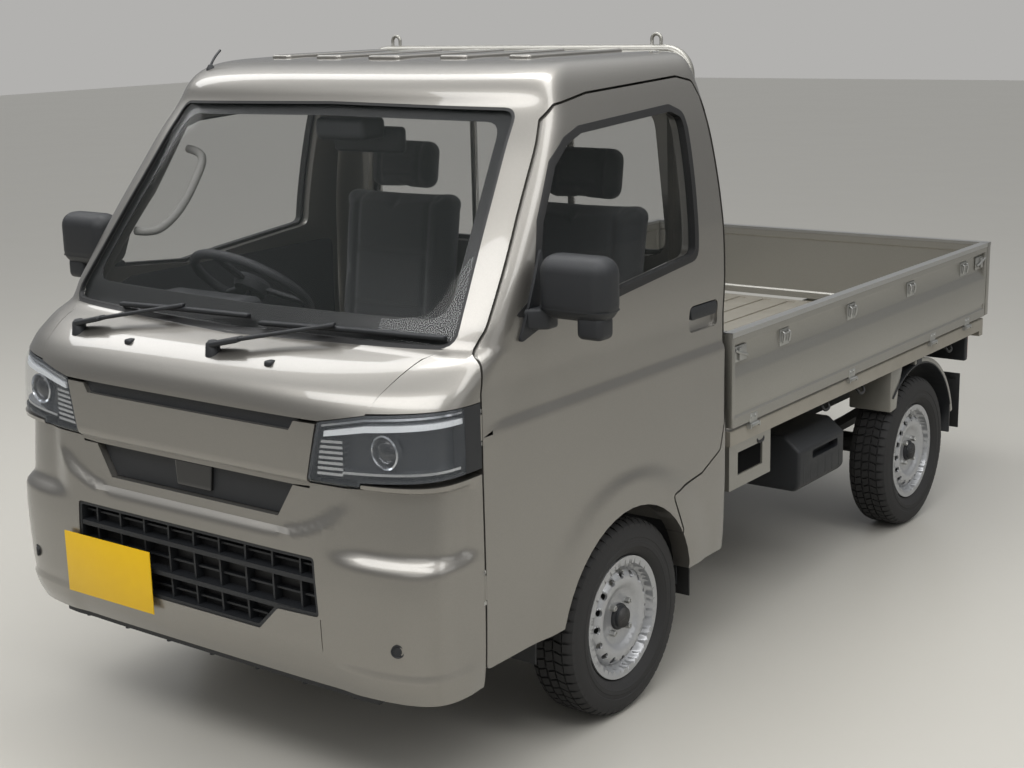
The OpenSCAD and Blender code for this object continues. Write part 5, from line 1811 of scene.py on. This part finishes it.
@dataclass
class Wheel:
    """One road wheel's tyre, rim fittings and hub cap, modelled at the origin."""

    radius: float = 0.266
    width: float = 0.145
    bead: float = 0.152
    pitches: int = 56
    tread: float = 0.007
    face: float = 0.0343
    front_track: float = 0.6525
    rear_track: float = 0.645
    nut_circle: float = 0.050

    def carcass(self) -> Piece:
        """Makes the tyre's body with rings on its side walls.

        Returns:
            The body, spinning about X.
        """
        r, s, t = self.radius, self.width / 2, self.tread
        side = [(0.0495, self.bead), (0.0495, 0.167), (s - 0.009, 0.178), (s - 0.003, 0.190),
                (s - 0.002, 0.192), (s - 0.0005, 0.1935), (s, 0.204), (s, 0.2045),
                (s - 0.0015, 0.2065), (s - 0.002, 0.216), (s - 0.0006, 0.2175), (s - 0.001, 0.228),
                (s - 0.0045, 0.242), (s - 0.0085, 0.252), (s - 0.016, r - t - 0.002),
                (s - 0.034, r - t)]
        profile = [(-x, y) for x, y in side] + side[::-1]
        return turned("carcass", profile, (0, 0, 0), Axis.X, 2 * self.pitches)

    def tread_pitch(self) -> Piece:
        """Makes one pitch of the tread: three rows of blocks and two shoulders.

        Returns:
            The blocks at the top of the tyre.
        """
        r, t, s = self.radius, self.tread, self.width / 2
        reach = 2 * math.pi * r / self.pitches
        parts = []
        for x, wide, lean, share in ((0.0, 0.021, 0.35, 0.80), (0.0275, 0.022, -0.3, 0.78),
                                     (-0.0275, 0.022, 0.3, 0.78)):
            half = reach * share / 2
            slope = lean * wide / 2
            outline = [(x - wide / 2, -half - slope), (x + wide / 2, slope - half),
                       (x + wide / 2, half + slope), (x - wide / 2, half - slope)]
            parts.append(prism("lug", outline, Axis.Z, r - t - 0.002, r - 0.0007))
        for side in (-1, 1):
            half = reach * 0.37
            section = [(0.0425, t + 0.003), (0.0425, 0.0012), (s - 0.018, 0.0045),
                       (s - 0.0075, 0.0140), (s - 0.0030, 0.0300), (s - 0.0065, 0.0310),
                       (s - 0.018, t + 0.006)]
            parts.append(prism("shoulder", [(side * x, r - deep) for x, deep in section], Axis.Y,
                               -half, half))
        return joined("pitch", parts)

    def tyre(self) -> Piece:
        """Makes the whole tyre.

        Returns:
            The tyre at the origin, spinning about X.
        """
        pitch = self.tread_pitch()
        pieces = [self.carcass()]
        for k in range(self.pitches):
            turn = Matrix.Rotation(2 * math.pi * k / self.pitches, 4, "X")
            pieces.append(copied(pitch, "pitch", turn))
        bpy.data.objects.remove(pitch)
        return joined("tyre", pieces)

    def hub(self) -> tuple[Piece, Piece]:
        """Makes the hub cap and the nuts with the valve.

        Returns:
            The black cap and the bright fittings.
        """
        cap = [(0.0, 0.0), (0.0, 0.036), (0.004, 0.036), (0.008, 0.0335), (0.009, 0.030),
               (0.016, 0.0285), (0.019, 0.025), (0.0195, 0.012), (0.018, 0.010), (0.018, 0.0)]
        nut = [(-0.003, 0.0), (-0.003, 0.0095), (0.001, 0.0095), (0.002, 0.0085),
               (0.014, 0.0085), (0.016, 0.0065), (0.016, 0.005), (0.013, 0.004), (0.013, 0.0)]
        seat = self.face + 0.006
        spots = arc((0.0, 0.0), self.nut_circle, 135, 405, 3)
        fittings = [turned("nut", nut, (seat, y, z), Axis.X, 6) for y, z in spots]
        valve = [(0.030, 0.0, 0.138), (0.044, 0.0, 0.134), (0.058, 0.0, 0.128)]
        fittings.append(tube("valve", valve, 0.0035))
        return turned("hub_cap", cap, (seat, 0, 0), Axis.X, 48), joined("hub_fittings", fittings)

    def build(self) -> None:
        """Makes the four wheels and puts each on its body."""
        tyre = self.tyre()
        cap, fittings = self.hub()
        rim = copied(frame["nodes"]["rim_front_left"], "rim")
        outward(rim, 1e-5)
        front, rear = self.front_track, self.rear_track
        rim.data.transform(Matrix.Translation((-front, -FRONT_AXLE, -AXLE_HEIGHT)))
        for where, x, y in (("front_left", front, FRONT_AXLE), ("front_right", -front, FRONT_AXLE),
                            ("rear_left", rear, REAR_AXLE), ("rear_right", -rear, REAR_AXLE)):
            move = Matrix.Translation((x, y, AXLE_HEIGHT))
            if x < 0:
                move = move @ MIRROR
            for part, name, coat, nodes, angle in (
                    (tyre, "tread_tyre", Coat.TYRE, (f"tyre_{where}",), 28),
                    (rim, "steel_rim", Coat.RIM, (f"rim_{where}",), 35),
                    (cap, "hub_cap", Coat.PLASTIC, (), 35),
                    (fittings, "wheel_nuts", Coat.ZINC, (), 35)):
                dress(copied(part, f"{name}_{where}", move), coat, *nodes, body=f"wheel_{where}",
                      angle=angle)
        for part in (tyre, cap, fittings, rim):
            bpy.data.objects.remove(part)


# ---- Under and behind ----


@dataclass
class Underbody:
    """The battery box, the wheel guards, the lamps at the back and the parts below."""

    def battery_box(self) -> None:
        """Makes the ribbed battery box with its sloping lid and slot."""
        low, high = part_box("battery_box")
        x0, x1, y0, y1, z0, z1 = low.x, high.x, low.y, high.y, low.z, high.z
        body = prism("battery_cover", [(x0, z0), (x0, z1), (x1 - 0.055, z1), (x1, z1 - 0.045),
                                       (x1, z0 + 0.02), (x1 - 0.02, z0)], Axis.Y, y0, y1,
                     0.010, 3)
        slot = rounded(oblong(y0 + 0.09, z1 - 0.085, y0 + 0.27, z1 - 0.058), 0.008)
        combine(body, prism("cutter", slot, Axis.X, x1 - 0.030, x1 + 0.02))
        ribs = [block("rib", (x1 - 0.003, y0 + 0.03 + 0.05 * k, z0 + 0.025),
                      (x1 + 0.0005, y0 + 0.036 + 0.05 * k, z1 - 0.10), 0.001) for k in range(6)]
        dress(joined("battery_cover", [body] + ribs), Coat.PLASTIC, "battery_box")

    def wheel_guards(self) -> None:
        """Makes the painted strips and stays round the rear wheels."""
        centre = (REAR_AXLE, AXLE_HEIGHT)
        strip = arc(centre, 0.338, 14, 96, 24) + arc(centre, 0.320, 96, 14, 24)
        piece = prism("arch_strip_left", strip, Axis.X, 0.7005, 0.7195, 0.002)
        stay = prism("stay", [(0.846, 0.606), (0.936, 0.606), (0.936, 0.586), (0.912, 0.540),
                              (0.898, 0.460), (0.846, 0.455)], Axis.X, 0.560, 0.716, 0.006)
        dress_pair(joined("arch_strip_left", [piece, stay]), Coat.BED)
        flap = block("mud_flap_left", (0.575, 1.4735, 0.262), (0.7135, 1.4785, 0.470), 0.0015)
        clips = [block("clip", (x, 1.4725, 0.446), (x + 0.03, 1.4795, 0.462), 0.001)
                 for x in (0.59, 0.67)]
        front_y = FRONT_AXLE + 0.345
        front = block("flap", (0.590, front_y, 0.215), (0.705, front_y + 0.006, 0.420), 0.002)
        dress_pair(joined("mud_flap_left", [flap, front] + clips), Coat.RUBBER)

    def tail_lamps(self) -> None:
        """Makes the three-part tail lamps with ribbed lenses."""
        x1, y1, z0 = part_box("tail_lamps")[1].x, BED_REAR - 0.006, 0.486
        x0 = x1 - 0.19
        housing = [block("box", (x0, y1 - 0.040, z0), (x1, y1 - 0.012, z0 + 0.096), 0.006, 3),
                   block("stay", (x0 + 0.04, y1 - 0.024, z0 + 0.014),
                         (x0 + 0.15, y1 - 0.013, 0.586), 0.002)]
        dress_pair(joined("lamp_housing_left", housing), Coat.PLASTIC)
        for name, a, b, coat in (("red_lens", 0.100, 0.186, Coat.RED_LENS),
                                 ("amber_lens", 0.052, 0.098, Coat.AMBER_LENS),
                                 ("white_lens", 0.004, 0.050, Coat.WHITE_LENS)):
            lens = block("lens", (x0 + a, y1 - 0.016, z0 + 0.004), (x0 + b, y1, z0 + 0.092),
                         0.005, 3)
            ribs = [block("rib", (x0 + a + 0.004, y1 - 0.002, z0 + 0.012 + 0.012 * k),
                          (x0 + b - 0.004, y1 + 0.0012, z0 + 0.0145 + 0.012 * k), 0.0008)
                    for k in range(7)]
            dress_pair(joined(f"{name}_left", [lens] + ribs), coat,
                       nodes=("tail_lamps",) if coat is Coat.RED_LENS else ())

    def frame_details(self) -> None:
        """Adds bolts to the frame, and a seam and straps to the tank."""
        profile = [(0, 0), (0, 0.009), (0.004, 0.0085), (0.006, 0.004), (0.006, 0)]
        bolts = [turned("bolt", profile, (0.365, y, z), Axis.X, 8)
                 for y in (-1.50, -1.05, -0.25, 0.10, 0.55, 0.90, 1.30, 1.58)
                 for z in (0.392, 0.438)]
        bolts += [copied(piece, "bolt", MIRROR) for piece in bolts]
        dress(joined("frame_bolts", bolts), Coat.ZINC)
        low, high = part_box("fuel_tank")
        seam = block("seam", (low.x - 0.004, low.y - 0.004, 0.412),
                     (high.x - 0.002, high.y + 0.004, 0.418), 0.001)
        straps = [block("strap", (low.x - 0.003, y, low.z - 0.003),
                        (high.x - 0.002, y + 0.030, high.z + 0.003), 0.002)
                  for y in (low.y + 0.12, high.y - 0.15)]
        dress(joined("tank_straps", [seam] + straps), Coat.ZINC)

    def build(self) -> None:
        """Makes every piece under and behind the bed."""
        self.battery_box()
        self.wheel_guards()
        self.tail_lamps()
        self.frame_details()


CARRIED = {
    "chassis_frame": Coat.CHASSIS, "cab_floor": Coat.BODY, "dashboard": Coat.DASH,
    "steering_column": Coat.PLASTIC, "hinge_pins": Coat.ZINC, "bed_floor": Coat.BED_FLOOR,
    "front_board": Coat.BED, "guard_frame": Coat.BED, "side_brackets": Coat.BED,
    "fuel_tank": Coat.CHASSIS, "engine_block": Coat.CAST, "exhaust": Coat.STEEL,
    "propeller_shaft": Coat.CHASSIS, "rear_axle": Coat.CHASSIS, "leaf_springs": Coat.CHASSIS,
    "front_suspension": Coat.CHASSIS, "knuckle_left": Coat.CAST, "knuckle_right": Coat.CAST,
    "mudguards": Coat.PLASTIC}


@dataclass
class Carried:
    """The CAD nodes that are shown as they are, and those shown as smoothed copies."""

    smoothed: tuple[str, ...] = ("guard_frame", "rear_axle", "exhaust", "leaf_springs",
                                 "mudguards", "steering_column", "knuckle_left",
                                 "knuckle_right", "front_suspension")

    def build(self) -> None:
        """Finishes the nodes and makes the smoothed copies."""
        bodies = {node: body for body, nodes in
                  frame["record"]["behaviour"]["bodies"].items() for node in nodes}
        for node, coat in CARRIED.items():
            if node in self.smoothed:
                copy = outward(copied(frame["nodes"][node], f"{node}_smooth"), 1e-5)
                dress(copy, coat, node, body=bodies[node], angle=35)
                continue
            slots = frame["nodes"][node].data.materials
            for k in range(max(len(slots), 1)):
                if k < len(slots):
                    slots[k] = coat.material
                else:
                    slots.append(coat.material)
            LOG.info("%s keeps its shape", node)


# ---- The scene around it ----


@dataclass
class Studio:
    """The camera, the lights, the floor and the pale background."""

    eye: Triple = (2.8904, -4.2056, 1.8539)
    azimuth: float = 36.9
    elevation: float = 13.3
    roll: float = -1.4
    lens: float = 56.7
    low_sky: float = 0.24
    high_sky: float = 0.85

    def camera(self) -> None:
        """Places the camera."""
        a, e, r = (math.radians(v) for v in (self.azimuth, self.elevation, self.roll))
        ahead = -Vector((math.sin(a) * math.cos(e), -math.cos(a) * math.cos(e), math.sin(e)))
        right = ahead.cross(Vector((0, 0, 1))).normalized()
        up = right.cross(ahead)
        across = right * math.cos(r) + up * math.sin(r)
        above = -right * math.sin(r) + up * math.cos(r)
        data = bpy.data.cameras.new("camera")
        data.lens, data.sensor_width = self.lens, 36.0
        data.clip_start, data.clip_end = 0.05, 200.0
        eye = bpy.data.objects.new("camera", data)
        turn = Matrix((across, above, -ahead)).transposed().to_4x4()
        eye.matrix_world = Matrix.Translation(self.eye) @ turn
        bpy.context.scene.collection.objects.link(eye)
        bpy.context.scene.camera = eye

    def floor(self) -> None:
        """Makes the plain pale floor."""
        deselect()
        bpy.ops.mesh.primitive_plane_add(size=60)
        floor = bpy.context.object
        floor.name = "floor"
        finish = Finish("floor_paint", (190, 187, 179), (185, 182, 174), Pattern.CLOUDS, 0.7,
                        0.0, 0.0, (0.30, 0.38))
        floor.data.materials.append(finish.build())

    def lamp(self, name: str, place: Triple, aim: Triple, size: tuple[float, float],
             power: float) -> None:
        """Adds a soft rectangular lamp.

        Args:
            name: The lamp's name.
            place: Where it is.
            aim: The point it faces.
            size: Its width and height.
            power: Its power in watts.
        """
        data = bpy.data.lights.new(name, "AREA")
        data.shape = "RECTANGLE"
        data.size, data.size_y = size
        data.energy = power
        lamp = bpy.data.objects.new(name, data)
        lamp.location = place
        lamp.rotation_mode = "QUATERNION"
        lamp.rotation_quaternion = (Vector(aim) - Vector(place)).to_track_quat("-Z", "Y")
        bpy.context.scene.collection.objects.link(lamp)

    def surroundings(self) -> None:
        """Lights the scene from all round, and shows a pale wall behind it."""
        world = bpy.data.worlds.new("world")
        bpy.context.scene.world = world
        world.use_nodes = True
        nodes, links = world.node_tree.nodes, world.node_tree.links
        nodes.clear()
        output = nodes.new("ShaderNodeOutputWorld")
        path = nodes.new("ShaderNodeLightPath")
        light, wall = nodes.new("ShaderNodeBackground"), nodes.new("ShaderNodeBackground")
        place = nodes.new("ShaderNodeTexCoord")
        split = nodes.new("ShaderNodeSeparateXYZ")
        fade = nodes.new("ShaderNodeMapRange")
        fade.interpolation_type = "SMOOTHSTEP"
        feed(fade, From_Min=0.25, From_Max=0.70, To_Min=self.low_sky, To_Max=self.high_sky)
        links.new(place.outputs["Generated"], split.inputs[0])
        links.new(split.outputs["Z"], fade.inputs["Value"])
        links.new(fade.outputs["Result"], light.inputs["Strength"])
        feed(light, Color=(0.98, 0.99, 1.0, 1.0))
        feed(wall, Color=linear(178, 177, 175))
        mix = nodes.new("ShaderNodeMixShader")
        links.new(path.outputs["Is Camera Ray"], mix.inputs[0])
        links.new(light.outputs[0], mix.inputs[1])
        links.new(wall.outputs[0], mix.inputs[2])
        links.new(mix.outputs[0], output.inputs[0])

    def build(self) -> None:
        """Sets up the camera, the floor, the lamps and the background."""
        self.camera()
        self.floor()
        self.surroundings()
        self.lamp("ceiling_left", (1.7, -0.4, 4.4), (0.6, -0.2, 0), (1.2, 7.0), 84)
        self.lamp("ceiling_right", (-1.5, -0.4, 4.4), (-0.6, -0.2, 0), (1.2, 7.0), 84)
        self.lamp("ceiling_front", (0.6, -3.6, 4.2), (0.1, -1.2, 1.0), (6.5, 1.3), 115)
        self.lamp("front_fill", (2.4, -6.5, 3.0), (0, -1.0, 0.8), (4.0, 1.6), 16)
        self.lamp("side_fill", (6.5, 0.5, 2.4), (0, 0.2, 0.8), (5.0, 1.6), 20)
        bpy.context.scene.view_settings.view_transform = "Standard"


def main() -> None:
    """Builds the truck's looks."""
    logging.basicConfig(level=logging.INFO, format="%(message)s")
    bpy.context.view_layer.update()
    deselect()
    form = CabForm()
    panels = CabPanels(form)
    panels.build()
    Nose(panels).build()
    Mirrors(form).build()
    Interior(form).build()
    Bed().build()
    Wheel().build()
    Underbody().build()
    Carried().build()
    Studio().build()


if __name__ == "__main__":
    main()
